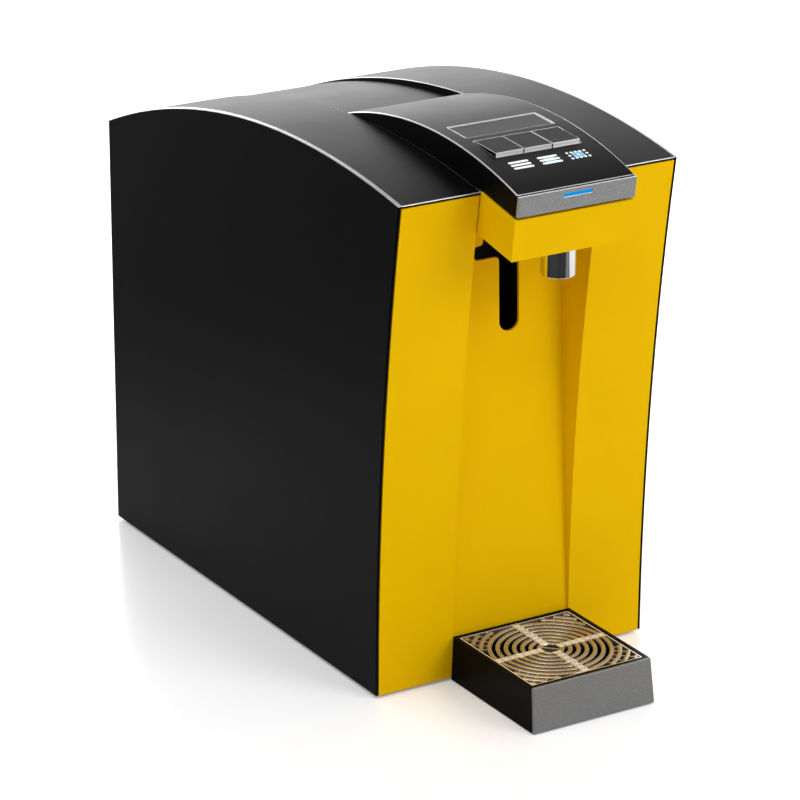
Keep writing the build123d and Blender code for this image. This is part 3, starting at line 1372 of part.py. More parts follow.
# Tubes, each a run with rounded bends from one connection to the next
bend_radius = 7.0
line_radius = 2.5
gas_tube_shift = 8.0
gas_tube_x = tube_x + gas_tube_shift
gas_tube_inset = 105.0
gas_tube_y = back_y - gas_tube_inset
valve_tube_share = 0.75
in_port_share = 0.3
out_port_share = 0.6
valve_tube_y = valve_rear_y - valve_length * valve_tube_share
outlet_turn_drop = 24.0
outlet_turn_z = outlet_z - outlet_turn_drop
tank_tube_z = tank_high_z + 2 * neck_height
tank_tube_gap = 8.0
tank_tube_y = valve_front_y - tank_tube_gap
vessel_tube_z = carbonator_top_z + 2 * carbonator_neck_height
tail_y = back_y - 2 * port_tail_length - fit_gap


def run_tube(points, radius):
    """Solid tube along straight runs joined by rounded bends"""
    with BuildLine() as path:
        FilletPolyline(*points, radius=bend_radius)
    with BuildSketch(Plane(origin=path.line @ 0, z_dir=path.line % 0)) as ring:
        Circle(radius)
    with BuildPart() as tube:
        sweep(ring.sketch, path=path.line)
    return tube.part


in_tank_x = tank_x - neck_offset
out_tank_x = tank_x + neck_offset
in_port_x = carrier_x + valve_width * in_port_share
out_port_x = carrier_x + valve_width * out_port_share
in_port_z = valve_low_z + valve_height * in_port_share
out_port_z = valve_low_z + valve_height * out_port_share
water_runs = (
    ((water_port_x, tail_y, port_z), (water_port_x, filter_y, port_z), (tube_x, filter_y, port_z),
     (tube_x, filter_y, head_arm_z), (filter_x - head_arm_length - fit_gap, filter_y, head_arm_z)),
    ((filter_x + head_arm_length + fit_gap, filter_y, head_arm_z), (outer_tube_x, filter_y, head_arm_z),
     (outer_tube_x, filter_y, pump_z), (outer_tube_x, pump_head_y, pump_z),
     (pump_x + pump_head_half + pump_port_reach + fit_gap, pump_head_y, pump_z)),
    ((pump_x - pump_head_half - pump_port_reach - fit_gap, pump_head_y, pump_z),
     (tube_x, pump_head_y, pump_z), (tube_x, valve_middle_y, pump_z),
     (tube_x, valve_middle_y, valve_low_z - fit_gap)),
    ((in_port_x, valve_front_y - fit_gap, in_port_z),
     (in_port_x, tank_tube_y, in_port_z), (in_tank_x, tank_tube_y, in_port_z),
     (in_tank_x, tank_tube_y, tank_tube_z), (in_tank_x, tank_y, tank_tube_z),
     (in_tank_x, tank_y, tank_high_z + neck_height + fit_gap)),
    ((out_port_x, valve_front_y - fit_gap, out_port_z),
     (out_port_x, tank_tube_y, out_port_z), (out_tank_x, tank_tube_y, out_port_z),
     (out_tank_x, tank_tube_y, tank_tube_z), (out_tank_x, tank_y, tank_tube_z),
     (out_tank_x, tank_y, tank_high_z + neck_height + fit_gap)),
    ((carrier_x + valve_width + fit_gap, valve_middle_y, in_port_z),
     (valve_tube_x, valve_middle_y, in_port_z), (valve_tube_x, valve_middle_y, vessel_tube_z),
     (valve_tube_x, carbonator_y, vessel_tube_z),
     (carbonator_x + carbonator_neck_offset, carbonator_y, vessel_tube_z),
     (carbonator_x + carbonator_neck_offset, carbonator_y,
      carbonator_top_z + carbonator_neck_height + fit_gap)),
    ((gas_port_x, tail_y, port_z), (gas_port_x, gas_line_y, port_z), (gas_port_x, gas_line_y, gas_line_z),
     (gas_tube_x, gas_line_y, gas_line_z), (gas_tube_x, gas_tube_y, gas_line_z),
     (gas_tube_x, gas_tube_y, vessel_tube_z), (gas_tube_x, carbonator_y, vessel_tube_z),
     (carbonator_x - carbonator_neck_offset, carbonator_y, vessel_tube_z),
     (carbonator_x - carbonator_neck_offset, carbonator_y,
      carbonator_top_z + carbonator_neck_height + fit_gap)),
    ((tube_x, valve_tube_y, valve_top_z + fit_gap), (tube_x, valve_tube_y, outlet_turn_z),
     (0, valve_tube_y, outlet_z), (0, spout_y + elbow_arm_length + fit_gap, outlet_z)))
with BuildPart() as water_tubes:
    for points in water_runs:
        add(run_tube(points, tube_radius))
save(water_tubes, "water_tubes")

line_offset = 20.0
line_rise = 34.0           # above the compressor's top
line_z = compressor_top_z + line_rise
line_top_z = max(fan_z + condenser_half_z, tank_high_z + neck_height) + neck_height
line_side_share = 0.5
line_rear_share = 0.6
line_rear_y = tank_y + tank_radius * line_rear_share
low_line_x = tank_x - tank_radius * line_side_share
high_line_x = tank_x + tank_radius * line_side_share
first_coil_x = fan_x - condenser_half_x * condenser_tube_share
last_coil_x = fan_x + condenser_half_x * condenser_tube_share
line_runs = (
    ((compressor_x - line_offset, compressor_y, compressor_top_z + fit_gap),
     (compressor_x - line_offset, compressor_y, line_z), (first_coil_x, condenser_middle_y, line_z),
     (first_coil_x, condenser_middle_y, condenser_low_z - fit_gap)),
    ((last_coil_x, condenser_middle_y, fan_z + condenser_half_z + fit_gap),
     (last_coil_x, condenser_middle_y, line_top_z), (high_line_x, line_rear_y, line_top_z),
     (high_line_x, line_rear_y, tank_high_z + fit_gap)),
    ((low_line_x, line_rear_y, tank_high_z + fit_gap), (low_line_x, line_rear_y, line_top_z),
     (compressor_x + line_offset, compressor_y, line_top_z),
     (compressor_x + line_offset, compressor_y, compressor_top_z + fit_gap)))
with BuildPart() as refrigerant_lines:
    for points in line_runs:
        add(run_tube(points, line_radius))
save(refrigerant_lines, "refrigerant_lines")
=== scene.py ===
import json
import math

import bmesh
import bpy
from mathutils import Matrix, Vector
from mathutils.bvhtree import BVHTree

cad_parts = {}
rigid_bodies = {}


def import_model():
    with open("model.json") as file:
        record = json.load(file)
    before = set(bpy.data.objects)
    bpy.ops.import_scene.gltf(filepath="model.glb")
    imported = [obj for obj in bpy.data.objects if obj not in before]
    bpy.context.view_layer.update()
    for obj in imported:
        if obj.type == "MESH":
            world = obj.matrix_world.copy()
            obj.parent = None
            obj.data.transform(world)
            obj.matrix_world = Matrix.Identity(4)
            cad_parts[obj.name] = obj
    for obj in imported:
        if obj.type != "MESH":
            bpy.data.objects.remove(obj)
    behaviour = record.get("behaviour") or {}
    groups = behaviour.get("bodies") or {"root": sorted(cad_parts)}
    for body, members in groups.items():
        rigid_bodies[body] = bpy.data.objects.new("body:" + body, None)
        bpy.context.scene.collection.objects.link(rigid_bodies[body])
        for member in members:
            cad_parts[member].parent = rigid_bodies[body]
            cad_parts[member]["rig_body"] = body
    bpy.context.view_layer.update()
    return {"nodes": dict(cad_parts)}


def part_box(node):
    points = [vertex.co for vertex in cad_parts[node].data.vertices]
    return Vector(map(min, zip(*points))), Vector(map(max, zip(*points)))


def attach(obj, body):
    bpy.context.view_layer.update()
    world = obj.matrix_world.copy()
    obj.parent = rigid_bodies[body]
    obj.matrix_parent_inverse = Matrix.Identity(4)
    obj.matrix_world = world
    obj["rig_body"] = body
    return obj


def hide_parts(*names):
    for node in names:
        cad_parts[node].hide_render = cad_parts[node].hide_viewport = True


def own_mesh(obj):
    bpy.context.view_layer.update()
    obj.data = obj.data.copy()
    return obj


bl_info = {
    "name": "Countertop water purifier",
    "version": (1, 0, 0),
    "blender": (4, 5, 0),
    "location": "View3D > Sidebar > Purifier",
    "description": "Dresses the packed water purifier: casing, hood, buttons, spout, tray, back and stage",
    "category": "Object",
}

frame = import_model()

# Pieces that keep the form of their CAD solid, with eased edges
CASING_PIECES = ("left_side_panel", "right_side_panel", "left_top_strip", "right_top_strip", "centre_panel",
                 "rear_panel")
FRONT_PIECES = ("front_panel", "spout_housing")
BUTTONS = ("still_button", "chilled_button", "sparkling_button")
SPRINGS = {"still_spring": "still_press", "chilled_spring": "chilled_press",
           "sparkling_spring": "sparkling_press"}
UNJOINED_PIECES = ("drip_tray", "rear_panel", "rear_screws")    # their flat faces stay as triangles
UNCLAMPED_PIECES = ("hood_eased",)                              # their roundings keep the full width
MERGE_DISTANCE = 0.000002           # corners nearer than this are one
FLAT_ANGLE = math.radians(0.4)      # neighbouring faces within this angle are joined
ROUNDED_ANGLE = math.radians(30)    # edges above this angle are rounded
SHARP_ANGLE = math.radians(80)      # edges above this angle stay sharp in shading
HIGHLIGHT_UPWARD = 0.2                        # least upward part of the normal of a rounding that keeps the painted highlight
HIDDEN_FINISHES = {         # finishes of the pieces that keep their CAD mesh
    "zinc_sheet": ("base_pan", "frame_posts", "cross_rails", "divider"),
    "screw_steel": ("housing_screws", "board_screws"),
    "soft_rubber": ("feet", "compressor_mounts"),
    "white_moulding": ("spout_elbow", "filter_head", "filter_cartridge", "valve_block"),
    "milky_tube": ("water_tubes",),
    "circuit_board": ("control_board", "light_board", "main_board"),
    "black_moulding": ("button_switches", "fan_frame", "slot_pocket"),
    "bare_fins": ("condenser",),
    "black_enamel": ("compressor", "pump", "power_supply"),
    "jacket_foam": ("tank_jacket",),
    "stainless": ("cold_tank", "carbonator", "tray_pegs"),
    "copper_tube": ("refrigerant_lines",),
}

# Area lights: name, place, aim, width, height and watts
LAMPS = (
    ("key", (1.2, -2.4, 1.9), (0.0, -0.1, 0.2), 1.4, 1.4, 33.0),
    ("fill", (-2.3, -1.3, 1.8), (0.0, -0.1, 0.3), 1.6, 1.6, 9.0),
    ("overhead", (-1.0, -0.6, 2.6), (-1.0, -0.6, 0.0), 2.6, 2.6, 56.0),
    ("right", (0.75, -1.3, 0.46), (0.0, -1.3, 0.46), 2.6, 0.9, 7.0),
    ("back", (0.6, 3.0, 0.9), (0.0, 0.0, 0.5), 5.0, 1.6, 100.0),
    ("upper back", (1.4, 2.4, 2.2), (0.0, 0.0, 0.4), 2.6, 1.2, 26.0),
)


def length(default, name, description):
    """A size that a user would change, in metres"""
    return bpy.props.FloatProperty(name=name, description=description, default=default, min=0.0, unit="LENGTH",
                                   precision=5)


def tint(default, name, description):
    """A linear colour that a user would change"""
    return bpy.props.FloatVectorProperty(name=name, description=description, default=default, size=3, min=0.0,
                                         max=1.0, subtype="COLOR")


def angle(default, name, description):
    """An angle given in degrees and kept in radians"""
    return bpy.props.FloatProperty(name=name, description=description, default=math.radians(default),
                                   subtype="ANGLE")


class PURIFIER_PG_sizes(bpy.types.PropertyGroup):
    """Sizes of the details that the scene adds to the CAD solids"""
    casing_edge: length(0.0006, "Casing edge", "Rounding of the black sheet edges")
    front_edge: length(0.0008, "Front edge", "Rounding of the yellow sheet edges")
    hood_edge: length(0.0009, "Hood edge", "Rounding of the hood and its grey front")
    button_edge: length(0.0006, "Button edge", "Rounding of the button caps")
    press_travel: length(0.0012, "Press travel", "How far a button flattens its spring")
    badge_rim: length(0.0009, "Badge rim", "Width of the raised rim of the bare badge plate")
    badge_sink: length(0.0005, "Badge sink", "Depth of the badge plate's field below its rim")
    icon_width: length(0.0185, "Icon width", "Width of each icon on the hood")
    icon_bar: length(0.0027, "Icon bar", "Width of a bar of the icons")
    icon_pitch: length(0.0043, "Icon pitch", "Distance between the bars of the icons")
    icon_dot: length(0.0025, "Icon dot", "Width of a dot of the third icon")
    icon_column: length(0.0040, "Icon column", "Distance between the dots of the third icon")
    icon_height: length(0.00012, "Icon height", "Thickness of the icons' print")
    icon_spacing: length(0.0266, "Icon spacing", "Distance between two icons")
    icon_setback: length(0.04045, "Icon setback", "From the hood's front edge to the middle of the icons")
    ring_width: length(0.0038, "Ring width", "Width of the grille's rings")
    ring_pitch: length(0.0067, "Ring pitch", "Distance between the grille's rings")
    hub_radius: length(0.0075, "Hub radius", "Radius of the open middle of the grille")
    rib_width: length(0.0064, "Rib width", "Width of the grille's four ribs")
    eyelet: length(0.0029, "Eyelet", "Size of the square eyelets along the grille's ribs")
    eyelet_wall: length(0.0008, "Eyelet wall", "Thickness of an eyelet's wall")
    grille_rim: length(0.0016, "Grille rim", "Width of the grille's square frame")
    corner_bar: length(0.0014, "Corner bar", "Width of the short bars in the grille's corners")
    screw_radius: length(0.0038, "Screw head", "Radius of the screw heads on the back")
    guard_wire: length(0.0009, "Guard wire", "Radius of the fan guard's wire")


class PURIFIER_PG_colours(bpy.types.PropertyGroup):
    """Colours of the main finishes"""
    casing: tint((0.0024, 0.0022, 0.0023), "Casing", "Black powder coat")
    front: tint((0.78, 0.46, 0.0), "Front", "Yellow powder coat")
    metallic: tint((0.31, 0.31, 0.31), "Metallic", "Grey metallic paint")
    brushed: tint((0.85, 0.85, 0.85), "Brushed", "Brushed fronts of the buttons")
    # Painted highlight colour for the black pieces' upward roundings, where the light catches them; it is not
    # wear
    edge: tint((0.6, 0.6, 0.6), "Edge", "Worn light edges of the black pieces")
    icon_white: tint((0.86, 0.86, 0.86), "Icon white", "White print")
    icon_blue: tint((0.16, 0.46, 0.66), "Icon blue", "Light blue print")
    light: tint((0.0, 0.29, 0.72), "Light", "Blue status light")
    # Warm tan tint of the polished grille, partly a painted reflection of the yellow front
    steel: tint((0.46, 0.41, 0.35), "Steel", "Polished grille")
    floor: tint((0.86, 0.86, 0.86), "Floor", "Pale floor")
    # Painted dark reflection: the floor's colour only in mirrored rays, far from the object, standing in for a
    # dark room
    far_floor: tint((0.008, 0.008, 0.008), "Far floor", "Floor far from the object, as mirrored in the chrome")


class PURIFIER_PG_view(bpy.types.PropertyGroup):
    """The camera, as fitted to the photograph"""
    heading: angle(31.67, "Heading", "Direction of view, turned from the back towards the right")
    tilt: angle(20.48, "Tilt", "Downward tilt of the view")
    roll: angle(0.24, "Roll", "Turn about the direction of view")
    lens: bpy.props.FloatProperty(name="Lens", description="Focal length on a 36 mm sensor", default=167.7,
                                  unit="CAMERA")
    place: bpy.props.FloatVectorProperty(name="Place", description="Where the camera stands", size=3,
                                         default=(-1.5504, -2.50825, 1.2794), subtype="TRANSLATION")


def sizes():
    return bpy.context.scene.purifier_sizes


def colours():
    return bpy.context.scene.purifier_colours


# Node tools

def place(tree, kind, sockets=None, **settings):
    """Adds a node, sets its settings, and fills its sockets with values or with links"""
    node = tree.nodes.new(kind)
    for name, value in settings.items():
        setattr(node, name, value)
    for key, value in (sockets or {}).items():
        if isinstance(value, bpy.types.NodeSocket):
            tree.links.new(value, node.inputs[key])
        else:
            node.inputs[key].default_value = value
    return node


def arithmetic(tree, operation, first, second=0.0):
    """Result socket of a sum, product or the like"""
    return place(tree, "ShaderNodeMath", {0: first, 1: second}, operation=operation).outputs[0]


def noise(tree, spot, scale, detail):
    """Value of a noise texture"""
    return place(tree, "ShaderNodeTexNoise", {"Vector": spot, "Scale": scale, "Detail": detail}).outputs["Fac"]


def pebbles(tree, spot, given):
    """Fine pebbled grain of a powder coat: a height, and a mask that is lighter on the pebbles"""
    fine = noise(tree, spot, given["Scale"], 2.0)
    coarse = noise(tree, spot, arithmetic(tree, "MULTIPLY", given["Scale"], 0.37), 1.0)
    return {"Height": arithmetic(tree, "MULTIPLY", fine, coarse),
            "Blotch": noise(tree, spot, given["Blotch Scale"], 4.0)}


def flakes(tree, spot, given):
    """Flakes of a metallic paint: a value for each flake and a small height"""
    cells = place(tree, "ShaderNodeTexVoronoi", {"Vector": spot, "Scale": given["Scale"]})
    split = place(tree, "ShaderNodeSeparateColor", {"Color": cells.outputs["Color"]})
    return {"Flake": split.outputs["Red"], "Height": split.outputs["Green"]}


def drawn_lines(tree, spot, given):
    """Fine lines of brushed or drawn metal, along X"""
    stretch = place(tree, "ShaderNodeCombineXYZ", {"X": given["Stretch"], "Y": 1.0, "Z": 1.0}).outputs[0]
    drawn = place(tree, "ShaderNodeVectorMath", {0: spot, 1: stretch}, operation="MULTIPLY").outputs[0]
    return {"Height": noise(tree, drawn, given["Scale"], 3.0), "Tone": noise(tree, spot, 22.0, 3.0)}


# Shared shader groups: name, inputs with their values, outputs and the function that builds them
GRAINS = {
    "pebble": ("pebble grain", {"Scale": 900.0, "Blotch Scale": 14.0}, ("Height", "Blotch"), pebbles),
    "flakes": ("paint flakes", {"Scale": 2300.0}, ("Flake", "Height"), flakes),
    "brushed": ("brushed lines", {"Scale": 240.0, "Stretch": 0.03}, ("Height", "Tone"), drawn_lines),
}
groups = {}


def grain(tree, kind, **sockets):
    """Outputs of a shared shader group, which is built the first time that it is asked for"""
    if kind not in groups:
        label, inputs, outputs, build = GRAINS[kind]
        shared = bpy.data.node_groups.new(label, "ShaderNodeTree")
        for name, value in inputs.items():
            socket = shared.interface.new_socket(name, in_out="INPUT", socket_type="NodeSocketFloat")
            socket.default_value = value
        for name in outputs:
            shared.interface.new_socket(name, in_out="OUTPUT", socket_type="NodeSocketFloat")
        given = shared.nodes.new("NodeGroupInput").outputs
        result = shared.nodes.new("NodeGroupOutput").inputs
        spot = shared.nodes.new("ShaderNodeTexCoord").outputs["Object"]
        for name, value in build(shared, spot, given).items():
            shared.links.new(value, result[name])
        groups[kind] = shared
    return place(tree, "ShaderNodeGroup", sockets, node_tree=groups[kind]).outputs


def shaded(name, roughness, metallic=0.0, specular=0.5, coat=0.0):
    """New material with a Principled shader; gives the material, its tree and the shader"""
    material = bpy.data.materials.new(name)
    material.use_nodes = True
    tree = material.node_tree
    shader = tree.nodes["Principled BSDF"]
    shader.inputs["Roughness"].default_value = roughness
    shader.inputs["Metallic"].default_value = metallic
    shader.inputs["Specular IOR Level"].default_value = specular
    shader.inputs["Coat Weight"].default_value = coat
    shader.inputs["Coat Roughness"].default_value = 0.08
    return material, tree, shader


def vary(tree, mask, first, second, low=0.35, high=0.65):
    """Colour that runs from the first to the second as the mask rises"""
    ramp = place(tree, "ShaderNodeMapRange", {"Value": mask, "From Min": low, "From Max": high})
    mix = place(tree, "ShaderNodeMix", {"Factor": ramp.outputs[0]}, data_type="RGBA")
    mix.inputs[6].default_value = (*first, 1.0)
    mix.inputs[7].default_value = (*second, 1.0)
    return mix.outputs[2]


def toned(tree, shader, mask, colour, darker, lighter, socket="Base Color", **limits):
    """Colour of a finish, which runs from darker to lighter as the mask rises"""
    varied = vary(tree, mask, shift(colour, darker), shift(colour, lighter), **limits)
    tree.links.new(varied, shader.inputs[socket])


def roughened(tree, shader, mask, low, high):
    """Roughness that runs from low to high as the mask rises"""
    rough = place(tree, "ShaderNodeMapRange", {"Value": mask, "To Min": low, "To Max": high})
    tree.links.new(rough.outputs[0], shader.inputs["Roughness"])


def relief(tree, shader, height, strength, depth):
    """Bump from a height, in metres"""
    bump = place(tree, "ShaderNodeBump", {"Height": height, "Strength": strength, "Distance": depth})
    tree.links.new(bump.outputs["Normal"], shader.inputs["Normal"])


def shift(colour, factor):
    """The colour made darker or lighter by a factor"""
    return tuple(min(1.0, part * factor) for part in colour)


def coated(name, colour, roughness, scale, depth, specular=0.5, change=0.12, metallic=0.0):
    """Powder coat or moulded plastic with pebbled grain"""
    material, tree, shader = shaded(name, roughness, metallic=metallic, specular=specular)
    pebble = grain(tree, "pebble", Scale=scale)
    toned(tree, shader, pebble["Blotch"], colour, 1 - change, 1 + change)
    roughened(tree, shader, pebble["Blotch"], roughness - 0.05, roughness + 0.05)
    relief(tree, shader, pebble["Height"], strength=0.6, depth=depth)
    return material


def flaked(name, colour, roughness):
    """Metallic paint with flakes under a clear coat"""
    material, tree, shader = shaded(name, roughness, metallic=0.4, coat=0.2)
    flake = grain(tree, "flakes")
    toned(tree, shader, flake["Flake"], colour, 0.75, 1.3, low=0.0, high=1.0)
    relief(tree, shader, flake["Height"], strength=0.25, depth=0.0002)
    return material


def metal(name, colour, roughness, scale=240.0, strength=0.15, metallic=1.0):
    """Bare metal with fine drawn lines"""
    material, tree, shader = shaded(name, roughness, metallic=metallic)
    brushed = grain(tree, "brushed", Scale=scale)
    toned(tree, shader, brushed["Tone"], colour, 0.9, 1.06)
    roughened(tree, shader, brushed["Tone"], roughness * 0.8, roughness * 1.25)
    relief(tree, shader, brushed["Height"], strength, depth=0.0001)
    return material


def glowing(name, colour, strength):
    """Lit plastic, its glow varying a little in random blotches"""
    material, tree, shader = shaded(name, 0.3, specular=0.05)
    pebble = grain(tree, "pebble", Scale=300.0)
    toned(tree, shader, pebble["Blotch"], colour, 0.92, 1.05, socket="Emission Color")
    shader.inputs["Base Color"].default_value = (*shift(colour, 0.05), 1.0)
    shader.inputs["Emission Strength"].default_value = strength
    return material


finishes = {}


def finish(name):
    """One of the object's finishes, made the first time that it is asked for"""
    tone = colours()
    makers = {
        "black_coat": lambda: coated("black powder coat", tone.casing, 0.42, 900.0, 0.00010, specular=0.04),
        "button_coat": lambda: coated("black button coat", tone.casing, 0.42, 900.0, 0.00008, specular=0.02),
        "yellow_coat": lambda: coated("yellow powder coat", tone.front, 0.5, 1100.0, 0.00003, specular=0.02,
                                      change=0.015),
        "black_gloss": lambda: coated("black gloss", (0.003, 0.003, 0.003), 0.3, 500.0, 0.00001,
                                      specular=0.025),
        "grey_metallic": lambda: flaked("grey metallic paint", tone.metallic, 0.34),
        "tray_metallic": lambda: flaked("dark grey metallic paint", shift(tone.metallic, 0.5), 0.34),
        "brushed_metal": lambda: metal("brushed metal", tone.brushed, 0.5, 420.0, 0.2),
        # Half-metallic gloss on the roundings, plus a painted highlight: a light grey colour on the black
        # pieces' upper edges
        "painted_highlight_edge": lambda: coated("light edge", tone.edge, 0.26, 900.0, 0.00001, change=0.04, metallic=0.5),
        "tray_black": lambda: coated("tray plastic", (0.002, 0.002, 0.002), 0.3, 700.0, 0.00003, specular=0.03),
        "print_white": lambda: coated("white print", tone.icon_white, 0.5, 600.0, 0.00001, change=0.03),
        "print_blue": lambda: coated("blue print", tone.icon_blue, 0.5, 600.0, 0.00001, change=0.03),
        "status_glow": lambda: glowing("status light", tone.light, 1.0),
        "polished_chrome": lambda: metal("polished chrome", (0.82, 0.82, 0.83), 0.04, 120.0, 0.01),
        # its tan tone is partly a painted reflection of the yellow front
        "polished_steel": lambda: metal("polished grille steel", tone.steel, 0.26, 300.0, 0.05, metallic=0.8),
        # painted highlight: near-white steel for the upper faces of the eyelets along the grille's ribs
        "painted_highlight_steel": lambda: metal("bright grille steel", (0.9, 0.89, 0.88), 0.32, 300.0, 0.05,
                                      metallic=0.5),
        "stainless": lambda: metal("stainless steel", (0.56, 0.56, 0.57), 0.28),
        "zinc_sheet": lambda: metal("zinc plated sheet", (0.5, 0.52, 0.55), 0.38, 90.0, 0.2),
        "screw_steel": lambda: metal("screw steel", (0.32, 0.32, 0.33), 0.3),
        "bare_fins": lambda: metal("bare aluminium", (0.68, 0.68, 0.7), 0.35),
        "copper_tube": lambda: metal("copper", (0.62, 0.29, 0.17), 0.3),
        "soft_rubber": lambda: coated("rubber", (0.012, 0.012, 0.012), 0.75, 500.0, 0.0002),
        "white_moulding": lambda: coated("white moulding", (0.7, 0.7, 0.68), 0.4, 400.0, 0.00005, change=0.04),
        "blue_moulding": lambda: coated("blue moulding", (0.03, 0.12, 0.45), 0.4, 400.0, 0.00005),
        "red_moulding": lambda: coated("red moulding", (0.4, 0.02, 0.015), 0.4, 400.0, 0.00005),
        "black_moulding": lambda: coated("black moulding", (0.004, 0.004, 0.004), 0.5, 600.0, 0.0001,
                                         specular=0.08),
        "milky_tube": lambda: coated("milky tube", (0.6, 0.65, 0.7), 0.3, 80.0, 0.00005, change=0.06),
        "circuit_board": lambda: coated("circuit board", (0.01, 0.12, 0.04), 0.35, 120.0, 0.00008, change=0.3),
        "black_enamel": lambda: coated("black enamel", (0.01, 0.01, 0.011), 0.22, 200.0, 0.0001),
        "jacket_foam": lambda: coated("jacket foam", (0.03, 0.03, 0.033), 0.9, 350.0, 0.0006),
    }
    if name not in finishes:
        finishes[name] = makers[name]()
    return finishes[name]


# Mesh tools

def linked(name, data):
    """New object with its mesh, lamp or camera, in the scene"""
    piece = bpy.data.objects.new(name, data)
    bpy.context.scene.collection.objects.link(piece)
    return piece


def settle(name, mesh, materials, node, stands_in=True):
    """Finished piece from a mesh, with the body of a CAD node, which it stands for or lies on"""
    mesh.name = name
    piece = linked(name, mesh)
    if not mesh.materials:
        for material in materials:
            mesh.materials.append(finish(material))
    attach(piece, frame["nodes"][node]["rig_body"])
    if stands_in:
        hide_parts(node)
    return piece


def evaluated_mesh(piece):
    """Plain mesh of an object with its modifiers applied; the object itself is removed"""
    bpy.context.view_layer.update()
    graph = bpy.context.evaluated_depsgraph_get()
    mesh = bpy.data.meshes.new_from_object(piece.evaluated_get(graph), preserve_all_data_layers=True,
                                           depsgraph=graph)
    bpy.data.objects.remove(piece)
    return mesh


def merged_copy(node):
    """Bmesh of a CAD node with its corners merged and, but for a few nodes, its flat faces joined"""
    shape = bmesh.new()
    shape.from_mesh(frame["nodes"][node].data)
    bmesh.ops.remove_doubles(shape, verts=shape.verts, dist=MERGE_DISTANCE)
    if node not in UNJOINED_PIECES:
        bmesh.ops.dissolve_limit(shape, angle_limit=FLAT_ANGLE, verts=shape.verts, edges=shape.edges)
    return shape


def closed_mesh(shape, mesh, sharp=None):
    """Puts a bmesh into a mesh with its faces outwards, and smooth up to an angle in degrees if one is given"""
    bmesh.ops.recalc_face_normals(shape, faces=shape.faces)
    shape.to_mesh(mesh)
    shape.free()
    if sharp is not None:
        mesh.shade_smooth()
        mesh.set_sharp_from_angle(angle=math.radians(sharp))
    return mesh


def strip(shape, first, second, closed=False):
    """Faces between two rows of corners"""
    for index in range(len(first) if closed else len(first) - 1):
        after = (index + 1) % len(first)
        shape.faces.new((first[index], first[after], second[after], second[index]))


def rounded(shape, name, edge, materials, segments=2):
    """Mesh of a bmesh with rounded edges; a painted highlight, the second material, goes on upward roundings"""
    mesh = bpy.data.meshes.new(name)
    shape.to_mesh(mesh)
    shape.free()
    for material in materials:
        mesh.materials.append(finish(material))
    piece = linked(name, mesh)
    bevel = piece.modifiers.new("Rounded edges", "BEVEL")
    bevel.width = edge
    bevel.segments = segments
    bevel.limit_method = "ANGLE"
    bevel.angle_limit = ROUNDED_ANGLE
    bevel.miter_outer = "MITER_ARC"
    bevel.use_clamp_overlap = name not in UNCLAMPED_PIECES
    if len(materials) > 1:
        bevel.material = 1
    weights = piece.modifiers.new("Flat faces", "WEIGHTED_NORMAL")
    weights.keep_sharp = True
    mesh.shade_smooth()
    mesh.set_sharp_from_angle(angle=SHARP_ANGLE)
    mesh = evaluated_mesh(piece)
    # The painted highlight stays only on roundings that face upwards, where light falls; the others keep the
    # piece's own finish
    for face in mesh.polygons:
        if face.material_index == 1 and face.normal.z < HIGHLIGHT_UPWARD:
            face.material_index = 0
    return mesh


def eased(node, material, edge, segments=2, painted_highlight_material=None):
    """Copy of a CAD node with rounded edges, in its place"""
    materials = (material, painted_highlight_material) if painted_highlight_material else (material,)
    mesh = rounded(merged_copy(node), node + "_eased", edge, materials, segments)
    return settle(node + "_eased", mesh, materials, node)


def tree_of(node):
    """Search tree of a CAD node's faces"""
    shape = bmesh.new()
    shape.from_mesh(frame["nodes"][node].data)
    tree = BVHTree.FromBMesh(shape)
    shape.free()
    return tree


# Geometry Nodes tools

